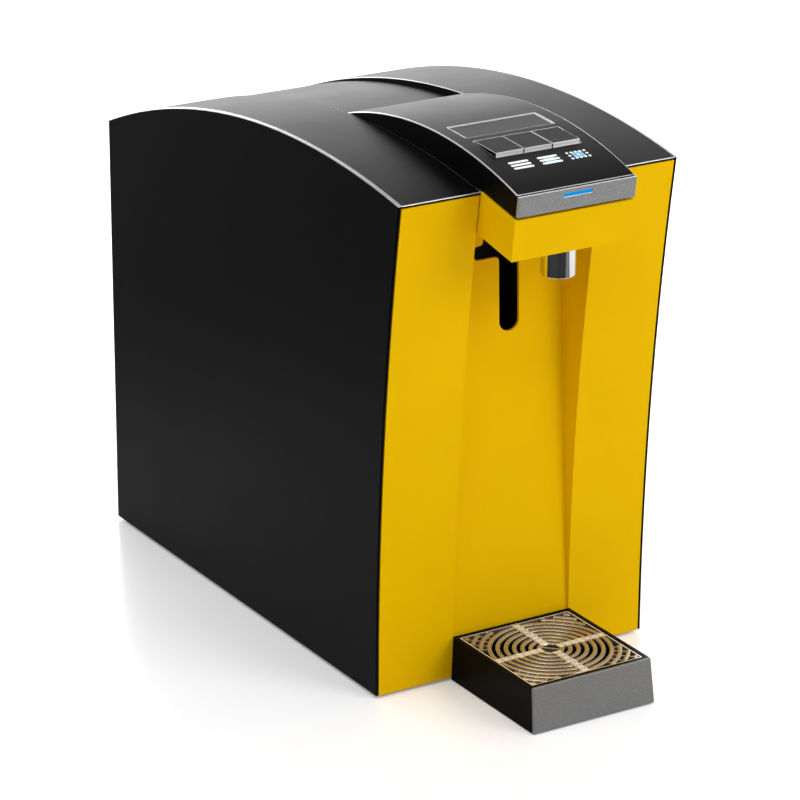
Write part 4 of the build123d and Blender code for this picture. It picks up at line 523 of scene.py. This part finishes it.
class Growth:
    """A Geometry Nodes tree with named inputs, run once and turned into a plain mesh"""

    def __init__(self, name, **given):
        self.values = given
        self.tree = bpy.data.node_groups.new(name, "GeometryNodeTree")
        kinds = {float: "NodeSocketFloat", int: "NodeSocketInt", bpy.types.Object: "NodeSocketObject"}
        for label, value in given.items():
            self.tree.interface.new_socket(label, in_out="INPUT", socket_type=kinds[type(value)])
        self.tree.interface.new_socket("Geometry", in_out="OUTPUT", socket_type="NodeSocketGeometry")
        self.given = self.tree.nodes.new("NodeGroupInput")
        self.result = self.tree.nodes.new("NodeGroupOutput")

    def value(self, label):
        return self.given.outputs[label]

    def add(self, kind, sockets=None, **settings):
        return place(self.tree, kind, sockets, **settings).outputs

    def calculate(self, operation, first, second=0.0):
        return arithmetic(self.tree, operation, first, second)

    def sum(self, first, second):
        return self.calculate("ADD", first, second)

    def product(self, first, second):
        return self.calculate("MULTIPLY", first, second)

    def vector(self, x=0.0, y=0.0, z=0.0):
        return self.add("ShaderNodeCombineXYZ", {"X": x, "Y": y, "Z": z})[0]

    def rectangle(self, width, height):
        return self.add("GeometryNodeCurvePrimitiveQuadrilateral", {"Width": width, "Height": height})[0]

    def circle(self, radius, steps):
        return self.add("GeometryNodeCurvePrimitiveCircle", {"Resolution": steps, "Radius": radius})[0]

    def block(self, x, y, z):
        return self.add("GeometryNodeMeshCube", {"Size": self.vector(x, y, z)})[0]

    def row(self, count, **sockets):
        """Points in a row, which all lie at the origin unless the sockets say where"""
        places = {"Start Location": self.vector(), "Offset": self.vector(), **sockets}
        return self.add("GeometryNodeMeshLine", {"Count": count, **places})[0]

    def rings(self, count, radius, steps, profile):
        """Swept rings about one middle; the radius is a field over their index"""
        loops = self.repeated(self.row(count), self.circle(1.0, steps), scale=radius)
        return self.tube(self.add("GeometryNodeRealizeInstances", {"Geometry": loops})[0], profile)

    def tube(self, path, profile):
        """Curve with a profile swept along it"""
        return self.add("GeometryNodeCurveToMesh", {
            "Curve": path, "Profile Curve": profile, "Fill Caps": True})[0]

    def moved(self, geometry, move=None, turn=None):
        sockets = {"Geometry": geometry}
        if move is not None:
            sockets["Translation"] = move
        if turn is not None:
            sockets["Rotation"] = turn
        return self.add("GeometryNodeTransform", sockets)[0]

    def joined(self, *parts):
        join = self.tree.nodes.new("GeometryNodeJoinGeometry")
        for part in reversed(parts):
            self.tree.links.new(part, join.inputs[0])
        return join.outputs[0]

    def repeated(self, points, instance, turn=None, scale=None):
        sockets = {"Points": points, "Instance": instance}
        if turn is not None:
            sockets["Rotation"] = turn
        if scale is not None:
            sockets["Scale"] = scale
        return self.add("GeometryNodeInstanceOnPoints", sockets)[0]

    def mesh(self, geometry, material):
        """Ends the tree in Realize Instances and Set Material, and gives its plain mesh"""
        real = self.add("GeometryNodeRealizeInstances", {"Geometry": geometry})[0]
        shade = self.add("GeometryNodeSetShadeSmooth", {"Geometry": real, "Shade Smooth": True})[0]
        done = self.add("GeometryNodeSetMaterial", {"Geometry": shade, "Material": finish(material)})[0]
        self.tree.links.new(done, self.result.inputs[0])
        holder = linked(self.tree.name, bpy.data.meshes.new(self.tree.name))
        modifier = holder.modifiers.new("Growth", "NODES")
        modifier.node_group = self.tree
        for item in self.tree.interface.items_tree:
            if item.item_type == "SOCKET" and item.in_out == "INPUT":
                modifier[item.identifier] = self.values[item.name]
        return evaluated_mesh(holder)


# Operators, one for each group of pieces

class PURIFIER_OT_casing(bpy.types.Operator):
    """Black casing panels with rounded sheet edges and pebbled powder coat"""
    bl_idname = "purifier.casing"
    bl_label = "Casing"

    def execute(self, context):
        for node in CASING_PIECES:
            # painted highlight on the panels' upward roundings
            eased(node, "black_coat", sizes().casing_edge, painted_highlight_material="painted_highlight_edge")
        return {"FINISHED"}


class PURIFIER_OT_front(bpy.types.Operator):
    """Yellow front panel and spout housing"""
    bl_idname = "purifier.front"
    bl_label = "Front"

    def execute(self, context):
        for node in FRONT_PIECES:
            eased(node, "yellow_coat", sizes().front_edge, segments=3)
        return {"FINISHED"}


class PURIFIER_OT_hood(bpy.types.Operator):
    """Hood with its grey front, bare badge plate and blue status light"""
    bl_idname = "purifier.hood"
    bl_label = "Hood"

    def execute(self, context):
        size = sizes()
        # the hood and its grey front get a painted highlight on their upward roundings
        eased("hood", "black_coat", size.hood_edge, segments=3, painted_highlight_material="painted_highlight_edge")
        eased("hood_fascia", "grey_metallic", size.hood_edge / 2, painted_highlight_material="painted_highlight_edge")
        eased("status_light", "status_glow", size.hood_edge / 4)
        shape = merged_copy("badge_plate")
        shape.faces.ensure_lookup_table()
        field = max((face for face in shape.faces if face.normal.z > 0.5), key=lambda face: face.calc_area())
        # the badge's raised rim gets the painted highlight colour
        for face in bmesh.ops.inset_region(shape, faces=[field], thickness=size.badge_rim, depth=0.0)["faces"]:
            face.material_index = 1
        bmesh.ops.translate(shape, verts=field.verts, vec=-field.normal * size.badge_sink)
        finish_names = ("black_gloss", "painted_highlight_edge")
        mesh = rounded(shape, "badge_plate_eased", size.badge_sink / 2, finish_names)
        settle("badge_plate_eased", mesh, finish_names, "badge_plate")
        return {"FINISHED"}


class PURIFIER_OT_buttons(bpy.types.Operator):
    """Three button caps with black tops, painted highlights on their upper edges and brushed fronts"""
    bl_idname = "purifier.buttons"
    bl_label = "Buttons"
    front_height = 0.012    # height of a cap's brushed front
    front_depth = 4         # how far behind the front a face may lie, in edge sizes
    forward = -0.9          # greatest normal Y of a face that looks forwards

    def execute(self, context):
        edge = sizes().button_edge
        # the second finish is a painted highlight on the caps' upper edges
        finish_names = ("button_coat", "painted_highlight_edge", "brushed_metal")
        for node in BUTTONS:
            mesh = rounded(merged_copy(node), node + "_eased", edge, finish_names, segments=3)
            front = min(corner.co.y for corner in mesh.vertices)
            top = max(corner.co.z for corner in mesh.vertices)
            for face in mesh.polygons:
                looks_forward = face.normal.y < self.forward and face.material_index == 0
                near_front = face.center.y < front + self.front_depth * edge
                if looks_forward and near_front and face.center.z > top - self.front_height:
                    face.material_index = 2
            settle(node + "_eased", mesh, finish_names, node)
        return {"FINISHED"}


class PURIFIER_OT_icons(bpy.types.Operator):
    """Printed icons in front of the buttons: bars, linked bars and a grid of dots"""
    bl_idname = "purifier.icons"
    bl_label = "Icons"
    end_steps = 8           # straight runs in each round end
    link_width = 0.55       # of an icon
    link_overlap = 0.6      # of a bar, that a link leaves free
    link_lift = 0.8         # of the white print's thickness
    patch_rows = (-0.6, 0.0, 0.6)
    patch_height = 0.9      # of the distance between rows

    def capsule(self, shape, hood, x, y, width, height, lift):
        """Flat bar with round ends on the hood"""
        point, normal, face, distance = hood.ray_cast(Vector((x, y, 1.0)), Vector((0, 0, -1)))
        on_hood = Matrix.Translation(point) @ normal.to_track_quat("Z", "Y").to_matrix().to_4x4()
        corners = []
        radius = height / 2
        for side in (1, -1):
            for step in range(self.end_steps + 1):
                turn = math.pi * (step / self.end_steps - 0.5)
                across = side * (width / 2 - radius + radius * math.cos(turn))
                corners.append(Vector((across, side * radius * math.sin(turn), 0)))
        low, high = ([shape.verts.new(on_hood @ (corner + Vector((0, 0, rise)))) for corner in corners]
                     for rise in (-lift, lift))
        shape.faces.new(high)
        shape.faces.new(list(reversed(low)))
        strip(shape, low, high, closed=True)

    def execute(self, context):
        size = sizes()
        middle_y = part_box("hood_fascia")[0].y + size.icon_setback
        right, pitch, lift = size.icon_spacing, size.icon_pitch, size.icon_height
        bars = [(x, row * pitch, size.icon_width, size.icon_bar) for x in (-right, 0.0) for row in (-1, 0, 1)]
        dots = [(right + column * size.icon_column, row * pitch, size.icon_dot, size.icon_dot)
                for column in (-2, -1, 0, 1, 2) for row in (-1, 0, 1) if row or abs(column) != 1]
        links = [(0.0, row * pitch, size.icon_width * self.link_width,
                  pitch - size.icon_bar * self.link_overlap) for row in (-0.5, 0.5)]
        links += [(right, row * pitch, 2 * size.icon_column + size.icon_dot, self.patch_height * pitch)
                  for row in self.patch_rows]
        hood = tree_of("hood")
        for name, marks, material, rise in (("icon_bars", bars, "print_white", lift),
                                            ("icon_dots", dots, "print_white", lift),
                                            ("icon_links", links, "print_blue", lift * self.link_lift)):
            shape = bmesh.new()
            for x, y, width, height in marks:
                self.capsule(shape, hood, x, middle_y + y, width, height, rise)
            mesh = closed_mesh(shape, bpy.data.meshes.new(name))
            settle(name, mesh, (material,), "hood", stands_in=False)
        return {"FINISHED"}


class PURIFIER_OT_spout(bpy.types.Operator):
    """Chromed spout and the dark insert in its mouth"""
    bl_idname = "purifier.spout"
    bl_label = "Spout"

    def execute(self, context):
        size = sizes()
        eased("spout", "polished_chrome", size.button_edge, segments=3)
        eased("spout_insert", "black_moulding", size.button_edge / 2)
        return {"FINISHED"}


class PURIFIER_OT_tray(bpy.types.Operator):
    """Drip tray and its grey metallic front"""
    bl_idname = "purifier.tray"
    bl_label = "Drip tray"

    def execute(self, context):
        size = sizes()
        eased("drip_tray", "tray_black", size.front_edge)
        eased("tray_fascia", "tray_metallic", size.casing_edge)
        return {"FINISHED"}


class PURIFIER_OT_grille(bpy.types.Operator):
    """Polished grille: rings, ribs with eyelets, a barred hub, corner arcs with bars and a square frame"""
    bl_idname = "purifier.grille"
    bl_label = "Grille"
    most_rings = 7
    corner_arcs = 3             # beyond the last full ring
    corner_bars = 5
    bar_turn = math.radians(8.5)
    ring_steps = 96
    arc_steps = 20
    rounding = 0.3              # share of the grille's thickness, as are the next six
    rib_depth = 0.6
    rib_drop = -0.2
    bar_depth = 0.7
    eyelet_depth = 0.5
    eyelet_rise = 0.25
    highlight_rise = 0.2           # faces above this on the ribs get the painted highlight
    eyelet_aside = 0.62         # of an eyelet, from the middle of the rib
    highlight_width = 1.15         # reach of the painted highlight on each side of a rib's middle, in eyelets
    hub_bar = 0.6               # of a ring's width
    sharp = 35                  # degrees

    def corner(self, grow, reach, band):
        """One quarter's arcs beyond the rings, and the bars that fan out over them"""
        product, total = grow.product, grow.sum
        inner, pitch, rings = grow.value("Inner Radius"), grow.value("Pitch"), grow.value("Rings")
        parts = []
        for extra in range(self.corner_arcs):
            radius = total(inner, product(total(rings, float(extra)), pitch))
            outer = total(radius, product(grow.value("Ring Width"), 0.5))
            start = grow.calculate("ARCCOSINE", grow.calculate("DIVIDE", reach, outer))
            arc = grow.add("GeometryNodeCurveArc", {
                "Resolution": self.arc_steps, "Radius": radius, "Start Angle": start,
                "Sweep Angle": total(math.pi / 2, product(start, -2.0))})[0]
            parts.append(grow.tube(arc, band))
        bars = grow.value("Corner Bars")
        first = total(inner, product(total(rings, -1.0), pitch))
        from_middle = total(grow.add("GeometryNodeInputIndex")[0], product(total(bars, -1.0), -0.5))
        turn = total(math.pi / 4, product(from_middle, grow.value("Bar Turn")))
        across, along = grow.calculate("COSINE", turn), grow.calculate("SINE", turn)
        end = grow.calculate("DIVIDE", reach, grow.calculate("MAXIMUM", across, along))
        fan = grow.add("GeometryNodeSetPosition", {"Geometry": grow.row(bars), "Offset": grow.vector(
            product(first, across), product(first, along))})[0]
        bar = grow.block(1.0, grow.value("Corner Bar"), product(grow.value("Thickness"), self.bar_depth))
        bar = grow.moved(bar, move=(0.5, 0.0, 0.0))
        parts.append(grow.repeated(fan, bar, turn=grow.vector(z=turn),
                                   scale=grow.vector(total(end, product(first, -1.0)), 1.0, 1.0)))
        return parts

    def rib(self, grow, reach):
        """One rib from the hub to the frame, with its two rows of eyelets"""
        product, total = grow.product, grow.sum
        inner, pitch, thickness = grow.value("Inner Radius"), grow.value("Pitch"), grow.value("Thickness")
        eyelet = grow.value("Eyelet")
        length = total(reach, product(inner, -1.0))
        parts = [grow.moved(grow.block(length, grow.value("Rib Width"), product(thickness, self.rib_depth)),
                            move=grow.vector(total(inner, product(length, 0.5)),
                                             z=product(thickness, self.rib_drop)))]
        wall = grow.rectangle(grow.value("Eyelet Wall"), product(thickness, self.eyelet_depth))
        square = grow.tube(grow.rectangle(eyelet, eyelet), wall)
        for side in (-self.eyelet_aside, self.eyelet_aside):
            first = grow.vector(total(inner, product(pitch, 0.5)), product(eyelet, side),
                                product(thickness, self.eyelet_rise))
            row = grow.row(grow.value("Rings"), **{"Start Location": first, "Offset": grow.vector(pitch)})
            parts.append(grow.repeated(row, square))
        return parts

    def execute(self, context):
        size = sizes()
        low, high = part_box("drip_grille")
        half = (high - low) / 2
        thick = high.z - low.z
        rings = int((min(half.x, half.y) - size.hub_radius) // size.ring_pitch) + 1
        grow = Growth("drip_grille_rings", **{
            "Rings": min(rings, self.most_rings), "Inner Radius": size.hub_radius + size.ring_width / 2,
            "Pitch": size.ring_pitch, "Ring Width": size.ring_width, "Thickness": thick, "Half X": half.x,
            "Half Y": half.y, "Rim": size.grille_rim, "Rib Width": size.rib_width, "Eyelet": size.eyelet,
            "Eyelet Wall": size.eyelet_wall, "Corner Bar": size.corner_bar, "Corner Bars": self.corner_bars,
            "Bar Turn": self.bar_turn})
        value, product, total = grow.value, grow.product, grow.sum
        inner, thickness, rim = value("Inner Radius"), value("Thickness"), value("Rim")
        band = grow.add("GeometryNodeFilletCurve", {
            "Curve": grow.rectangle(value("Ring Width"), thickness), "Count": 3, "Limit Radius": True,
            "Radius": product(thickness, self.rounding)}, mode="POLY")[0]
        radius = total(inner, product(grow.add("GeometryNodeInputIndex")[0], value("Pitch")))
        full_rings = grow.rings(value("Rings"), radius, self.ring_steps, band)
        reach = total(value("Half X"), product(rim, -0.5))
        quarter = grow.joined(*self.corner(grow, reach, band), *self.rib(grow, reach))
        quarters = [grow.moved(quarter, turn=(0.0, 0.0, step * math.pi / 2)) for step in range(4)]
        outline = grow.rectangle(*(total(product(value(half_side), 2.0), product(rim, -1.0))
                                   for half_side in ("Half X", "Half Y")))
        hub_bar = grow.moved(grow.block(product(inner, 2.0), product(value("Ring Width"), self.hub_bar),
                                        product(thickness, self.bar_depth)), turn=(0.0, 0.0, -math.pi / 4))
        rim_tube = grow.tube(outline, grow.rectangle(rim, thickness))
        mesh = grow.mesh(grow.joined(full_rings, rim_tube, hub_bar, *quarters), "polished_steel")
        # Painted highlight: the upper faces along the ribs get the near-white steel
        mesh.materials.append(finish("painted_highlight_steel"))
        for face in mesh.polygons:
            beside, along = sorted((abs(face.center.x), abs(face.center.y)))
            on_rib = beside < self.highlight_width * size.eyelet and along > size.hub_radius
            if on_rib and face.center.z > self.highlight_rise * thick:
                face.material_index = len(mesh.materials) - 1
        mesh.transform(Matrix.Translation((low + high) / 2))
        shape = bmesh.new()
        shape.from_mesh(mesh)
        settle("drip_grille_rings", closed_mesh(shape, mesh, self.sharp), ("polished_steel",), "drip_grille")
        return {"FINISHED"}


class PURIFIER_OT_back(bpy.types.Operator):
    """Back: fan with its wire guard, screws, push-in ports, power inlet and switch"""
    bl_idname = "purifier.back"
    bl_label = "Back"
    guard_rings = 5
    first_guard_ring = 1.3      # radius of the smallest, in steps of the guard's rings
    guard_steps = 6.6           # steps from the middle to the guard's edge
    blades = 7
    blade_rows = 8
    hub_share = 0.36            # of the fan's radius
    hub_taper = 0.94
    hub_depth = 0.96            # of the fan's depth
    hub_steps = 48
    root_share = 0.9            # where a blade starts, in hub radii
    tip_share = 0.985
    root_pitch = 48             # degrees
    untwist = 20                # degrees less at the tip
    root_chord = 0.95           # of the fan's depth
    widening = 0.25             # more at the tip
    sweep = 0.35                # radians from root to tip
    steepness = 0.62
    camber = 0.06               # of the fan's depth
    blade_chord = (-0.5, -0.2, 0.15, 0.5)
    blade_half = 0.0007         # half of a blade's thickness
    dome = ((0.0, 1.0), (0.45, 1.0), (0.8, 0.86), (1.0, 0.6))   # a screw head's heights and widths, as shares
    head_steps = 24
    recess = (0.2, 0.5)         # a screw's recess: its inset in radii and its depth in heights
    sharp = 40                  # degrees

    wire_sides = 10
    ring_steps = 72

    def guard(self):
        """Rings and a cross of wire"""
        low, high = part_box("fan_guard")
        grow = Growth("fan_guard_wires", **{
            "Rings": self.guard_rings, "Reach": (high.x - low.x) / 2, "Wire": sizes().guard_wire})
        reach = grow.value("Reach")
        wire = grow.circle(grow.value("Wire"), self.wire_sides)
        index = grow.add("GeometryNodeInputIndex")[0]
        share = grow.product(grow.sum(index, self.first_guard_ring), 1 / self.guard_steps)
        loops = grow.rings(grow.value("Rings"), grow.product(reach, share), self.ring_steps, wire)
        spoke = grow.add("GeometryNodeCurvePrimitiveLine", {
            "Start": grow.vector(grow.product(reach, -1.0)), "End": grow.vector(reach)})[0]
        spokes = [grow.moved(grow.tube(spoke, wire), turn=(0.0, 0.0, turn * math.pi / 2)) for turn in (0, 1)]
        mesh = grow.mesh(grow.joined(loops, *spokes), "stainless")
        mesh.transform(Matrix.Translation((low + high) / 2) @ Matrix.Rotation(math.pi / 2, 4, "X"))
        settle("fan_guard_wires", mesh, ("stainless",), "fan_guard")

    def blade_row(self, middle, hub, tip, depth, blade, row):
        """Points across a blade, from its root to its tip more twisted and wider"""
        share = row / self.blade_rows
        radius = hub * self.root_share + (tip * self.tip_share - hub * self.root_share) * share
        pitch = math.radians(self.root_pitch - self.untwist * share)
        chord = depth * (self.root_chord + self.widening * share)
        lean = 2 * math.pi * blade / self.blades + self.sweep * share
        points = []
        for along in self.blade_chord:
            turn = lean + along * chord * math.cos(pitch) / radius
            bulge = self.camber * depth * (0.25 - along * along)
            rise = along * chord * math.sin(pitch) * self.steepness + bulge
            points.append(Vector((middle.x + radius * math.cos(turn), middle.y + rise,
                                  middle.z + radius * math.sin(turn))))
        return points

    def rotor(self):
        """Hub with twisted blades"""
        low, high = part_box("fan_rotor")
        middle = (low + high) / 2
        tip = (high.x - low.x) / 2
        hub = tip * self.hub_share
        depth = high.y - low.y
        shape = bmesh.new()
        turned = Matrix.Translation(middle) @ Matrix.Rotation(math.pi / 2, 4, "X")
        bmesh.ops.create_cone(shape, cap_ends=True, segments=self.hub_steps, radius1=hub,
                              radius2=hub * self.hub_taper, depth=depth * self.hub_depth, matrix=turned)
        for blade in range(self.blades):
            rows = [self.blade_row(middle, hub, tip, depth, blade, row) for row in range(self.blade_rows + 1)]
            back, front = ([[shape.verts.new(point + Vector((0, side, 0))) for point in row] for row in rows]
                           for side in (-self.blade_half, self.blade_half))
            for sheet in (back, front):
                for first, second in zip(sheet, sheet[1:]):
                    strip(shape, first, second)
            for edge in (0, -1):
                strip(shape, [row[edge] for row in back], [row[edge] for row in front])
                strip(shape, back[edge], front[edge])
        mesh = closed_mesh(shape, bpy.data.meshes.new("fan_rotor_blades"), self.sharp)
        settle("fan_rotor_blades", mesh, ("black_moulding",), "fan_rotor")

    def screw_places(self, height):
        """Mesh with a point at the foot of each screw head"""
        shape = merged_copy("rear_screws")
        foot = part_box("rear_screws")[1].y - height
        points = []
        while shape.verts:
            found, waiting = set(), [next(iter(shape.verts))]
            while waiting:
                corner = waiting.pop()
                if corner not in found:
                    found.add(corner)
                    waiting.extend(edge.other_vert(corner) for edge in corner.link_edges)
            middle = sum((corner.co for corner in found), Vector()) / len(found)
            points.append((middle.x, foot, middle.z))
            bmesh.ops.delete(shape, geom=list(found), context="VERTS")
        shape.free()
        mesh = bpy.data.meshes.new("screw_places")
        mesh.from_pydata(points, [], [])
        return mesh

    def screw_head(self, height):
        """Domed head with a round recess"""
        shape = bmesh.new()
        radius = sizes().screw_radius
        turns = [2 * math.pi * step / self.head_steps for step in range(self.head_steps)]
        loops = [[shape.verts.new((radius * wide * math.cos(turn), up * height, radius * wide * math.sin(turn)))
                  for turn in turns] for up, wide in self.dome]
        for first, second in zip(loops, loops[1:]):
            strip(shape, first, second, closed=True)
        shape.faces.new(loops[0])
        cap = shape.faces.new(loops[-1])
        inset, depth = self.recess
        bmesh.ops.inset_region(shape, faces=[cap], thickness=radius * inset, depth=0.0)
        bmesh.ops.translate(shape, verts=cap.verts, vec=(0, -height * depth, 0))
        return closed_mesh(shape, bpy.data.meshes.new("screw_head"), self.sharp)

    def screws(self):
        """A head on each shank"""
        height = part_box("rear_screws")[1].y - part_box("rear_panel")[1].y
        sources = {"Places": linked("screw_places", self.screw_places(height)),
                   "Head": linked("screw_head", self.screw_head(height))}
        grow = Growth("rear_screw_heads", **sources)
        places, head = (grow.add("GeometryNodeObjectInfo", {"Object": grow.value(label)})["Geometry"]
                        for label in sources)
        mesh = grow.mesh(grow.repeated(places, head), "screw_steel")
        for source in sources.values():
            bpy.data.objects.remove(source)
        settle("rear_screw_heads", mesh, ("screw_steel",), "rear_screws")

    def execute(self, context):
        self.guard()
        self.rotor()
        self.screws()
        edge = sizes().casing_edge
        for node, material, share in (
                ("water_inlet", "white_moulding", 1), ("gas_inlet", "white_moulding", 1),
                ("water_collar", "blue_moulding", 0.5), ("gas_collar", "red_moulding", 0.5),
                ("power_inlet", "black_moulding", 1), ("power_rocker", "black_gloss", 0.5)):
            eased(node, material, edge * share)
        return {"FINISHED"}


class PURIFIER_OT_inside(bpy.types.Operator):
    """Finishes of the pieces inside the casing, which keep their CAD form, and steel copies of the springs"""
    bl_idname = "purifier.inside"
    bl_label = "Inside"

    def execute(self, context):
        for material, nodes in HIDDEN_FINISHES.items():
            for node in nodes:
                mesh = frame["nodes"][node].data
                mesh.materials.clear()
                mesh.materials.append(finish(material))
        for node, joint in SPRINGS.items():
            mesh = frame["nodes"][node].data.copy()
            mesh.materials.clear()
            piece = settle(node + "_coils", mesh, ("screw_steel",), node)
            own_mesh(piece)
        return {"FINISHED"}


class PURIFIER_OT_stage(bpy.types.Operator):
    """Pale floor, soft studio lights and the camera"""
    bl_idname = "purifier.stage"
    bl_label = "Stage"
    floor_half = 9.0
    floor_drop = 0.0004         # below the feet
    near, far = 0.45, 0.8       # from the object, where the mirrored floor starts and ends growing dark
    floor_glow = 0.16           # of the floor as the camera sees it
    room_light = 0.16           # of the white room, where the camera doesn't see it
    sensor = 36.0               # millimetres
    sight = 50.0                # how far the camera sees

    def lamp(self, name, place_at, aim, wide, high, power):
        """Area light aimed at a point"""
        data = bpy.data.lights.new(name, "AREA")
        data.shape = "RECTANGLE"
        data.size = wide
        data.size_y = high
        data.energy = power
        lamp = linked(name, data)
        lamp.visible_camera = False
        lamp.location = place_at
        lamp.rotation_euler = (Vector(aim) - Vector(place_at)).to_track_quat("-Z", "Y").to_euler()

    def floor_finish(self):
        """Pale, slightly glossy floor with a painted dark reflection: the chrome mirrors it darker far from the
        object
        """
        tone = colours()
        material, tree, shader = shaded("pale floor", 0.25)
        pale = vary(tree, grain(tree, "pebble", Scale=3.0)["Blotch"], shift(tone.floor, 0.995),
                    shift(tone.floor, 1.005))
        spot = tree.nodes.new("ShaderNodeTexCoord").outputs["Object"]
        reach = place(tree, "ShaderNodeVectorMath", {0: spot}, operation="LENGTH").outputs["Value"]
        # Painted dark reflection: only glossy rays see the floor turn dark far from the object
        dark = place(tree, "ShaderNodeMapRange", {"Value": reach, "From Min": self.near, "From Max": self.far})
        path = tree.nodes.new("ShaderNodeLightPath")
        mirrored = arithmetic(tree, "MULTIPLY", dark.outputs[0], path.outputs["Is Glossy Ray"])
        mix = place(tree, "ShaderNodeMix", {"Factor": mirrored}, data_type="RGBA")
        tree.links.new(pale, mix.inputs[6])
        mix.inputs[7].default_value = (*tone.far_floor, 1.0)
        tree.links.new(mix.outputs[2], shader.inputs["Base Color"])
        shader.inputs["Emission Color"].default_value = (1.0, 1.0, 1.0, 1.0)
        tree.links.new(arithmetic(tree, "MULTIPLY", path.outputs["Is Camera Ray"], self.floor_glow),
                       shader.inputs["Emission Strength"])
        return material

    def floor(self):
        """Floor under the feet"""
        shape = bmesh.new()
        bmesh.ops.create_grid(shape, x_segments=1, y_segments=1, size=self.floor_half)
        mesh = bpy.data.meshes.new("floor")
        shape.to_mesh(mesh)
        shape.free()
        mesh.materials.append(self.floor_finish())
        floor = linked("floor", mesh)
        floor.location.z = -self.floor_drop

    def room(self, scene):
        """White background, which lights the object only a little"""
        scene.world = bpy.data.worlds.new("studio")
        scene.world.use_nodes = True
        tree = scene.world.node_tree
        white = (1.0, 1.0, 1.0, 1.0)
        unseen, seen = (place(tree, "ShaderNodeBackground", {"Color": white, "Strength": strength}).outputs[0]
                        for strength in (self.room_light, 1.0))
        path = tree.nodes.new("ShaderNodeLightPath").outputs["Is Camera Ray"]
        both = place(tree, "ShaderNodeMixShader", {0: path, 1: unseen, 2: seen})
        tree.links.new(both.outputs[0], tree.nodes["World Output"].inputs["Surface"])
        scene.view_settings.view_transform = "Standard"

    def camera(self, scene):
        """Camera at the photograph's viewing angle"""
        view = scene.purifier_view
        data = bpy.data.cameras.new("photo camera")
        data.sensor_width = self.sensor
        data.lens = view.lens
        data.clip_end = self.sight
        camera = linked("photo camera", data)
        camera.matrix_world = (Matrix.Translation(view.place) @ Matrix.Rotation(-view.heading, 4, "Z")
                               @ Matrix.Rotation(math.pi / 2 - view.tilt, 4, "X")
                               @ Matrix.Rotation(view.roll, 4, "Z"))
        scene.camera = camera

    def execute(self, context):
        self.floor()
        self.room(context.scene)
        for lamp in LAMPS:
            self.lamp(*lamp)
        self.camera(context.scene)
        return {"FINISHED"}


OPERATORS = (PURIFIER_OT_casing, PURIFIER_OT_front, PURIFIER_OT_hood, PURIFIER_OT_buttons, PURIFIER_OT_icons,
             PURIFIER_OT_spout, PURIFIER_OT_tray, PURIFIER_OT_grille, PURIFIER_OT_back, PURIFIER_OT_inside,
             PURIFIER_OT_stage)


class PURIFIER_PT_panel(bpy.types.Panel):
    """Lists the steps that dress the water purifier"""
    bl_label = "Water purifier"
    bl_idname = "PURIFIER_PT_panel"
    bl_space_type = "VIEW_3D"
    bl_region_type = "UI"
    bl_category = "Purifier"

    def draw(self, context):
        for operator in OPERATORS:
            self.layout.operator(operator.bl_idname)
        scene = context.scene
        for settings in (scene.purifier_sizes, scene.purifier_colours, scene.purifier_view):
            for name in settings.__annotations__:
                self.layout.prop(settings, name)


CLASSES = (PURIFIER_PG_sizes, PURIFIER_PG_colours, PURIFIER_PG_view, *OPERATORS, PURIFIER_PT_panel)


def register():
    for item in CLASSES:
        bpy.utils.register_class(item)
    bpy.types.Scene.purifier_sizes = bpy.props.PointerProperty(type=PURIFIER_PG_sizes)
    bpy.types.Scene.purifier_colours = bpy.props.PointerProperty(type=PURIFIER_PG_colours)
    bpy.types.Scene.purifier_view = bpy.props.PointerProperty(type=PURIFIER_PG_view)


def unregister():
    del bpy.types.Scene.purifier_sizes
    del bpy.types.Scene.purifier_colours
    del bpy.types.Scene.purifier_view
    for item in reversed(CLASSES):
        bpy.utils.unregister_class(item)


def main():
    register()
    for operator in OPERATORS:
        group_name, call = operator.bl_idname.split(".")
        getattr(getattr(bpy.ops, group_name), call)()


if __name__ == "__main__":
    main()
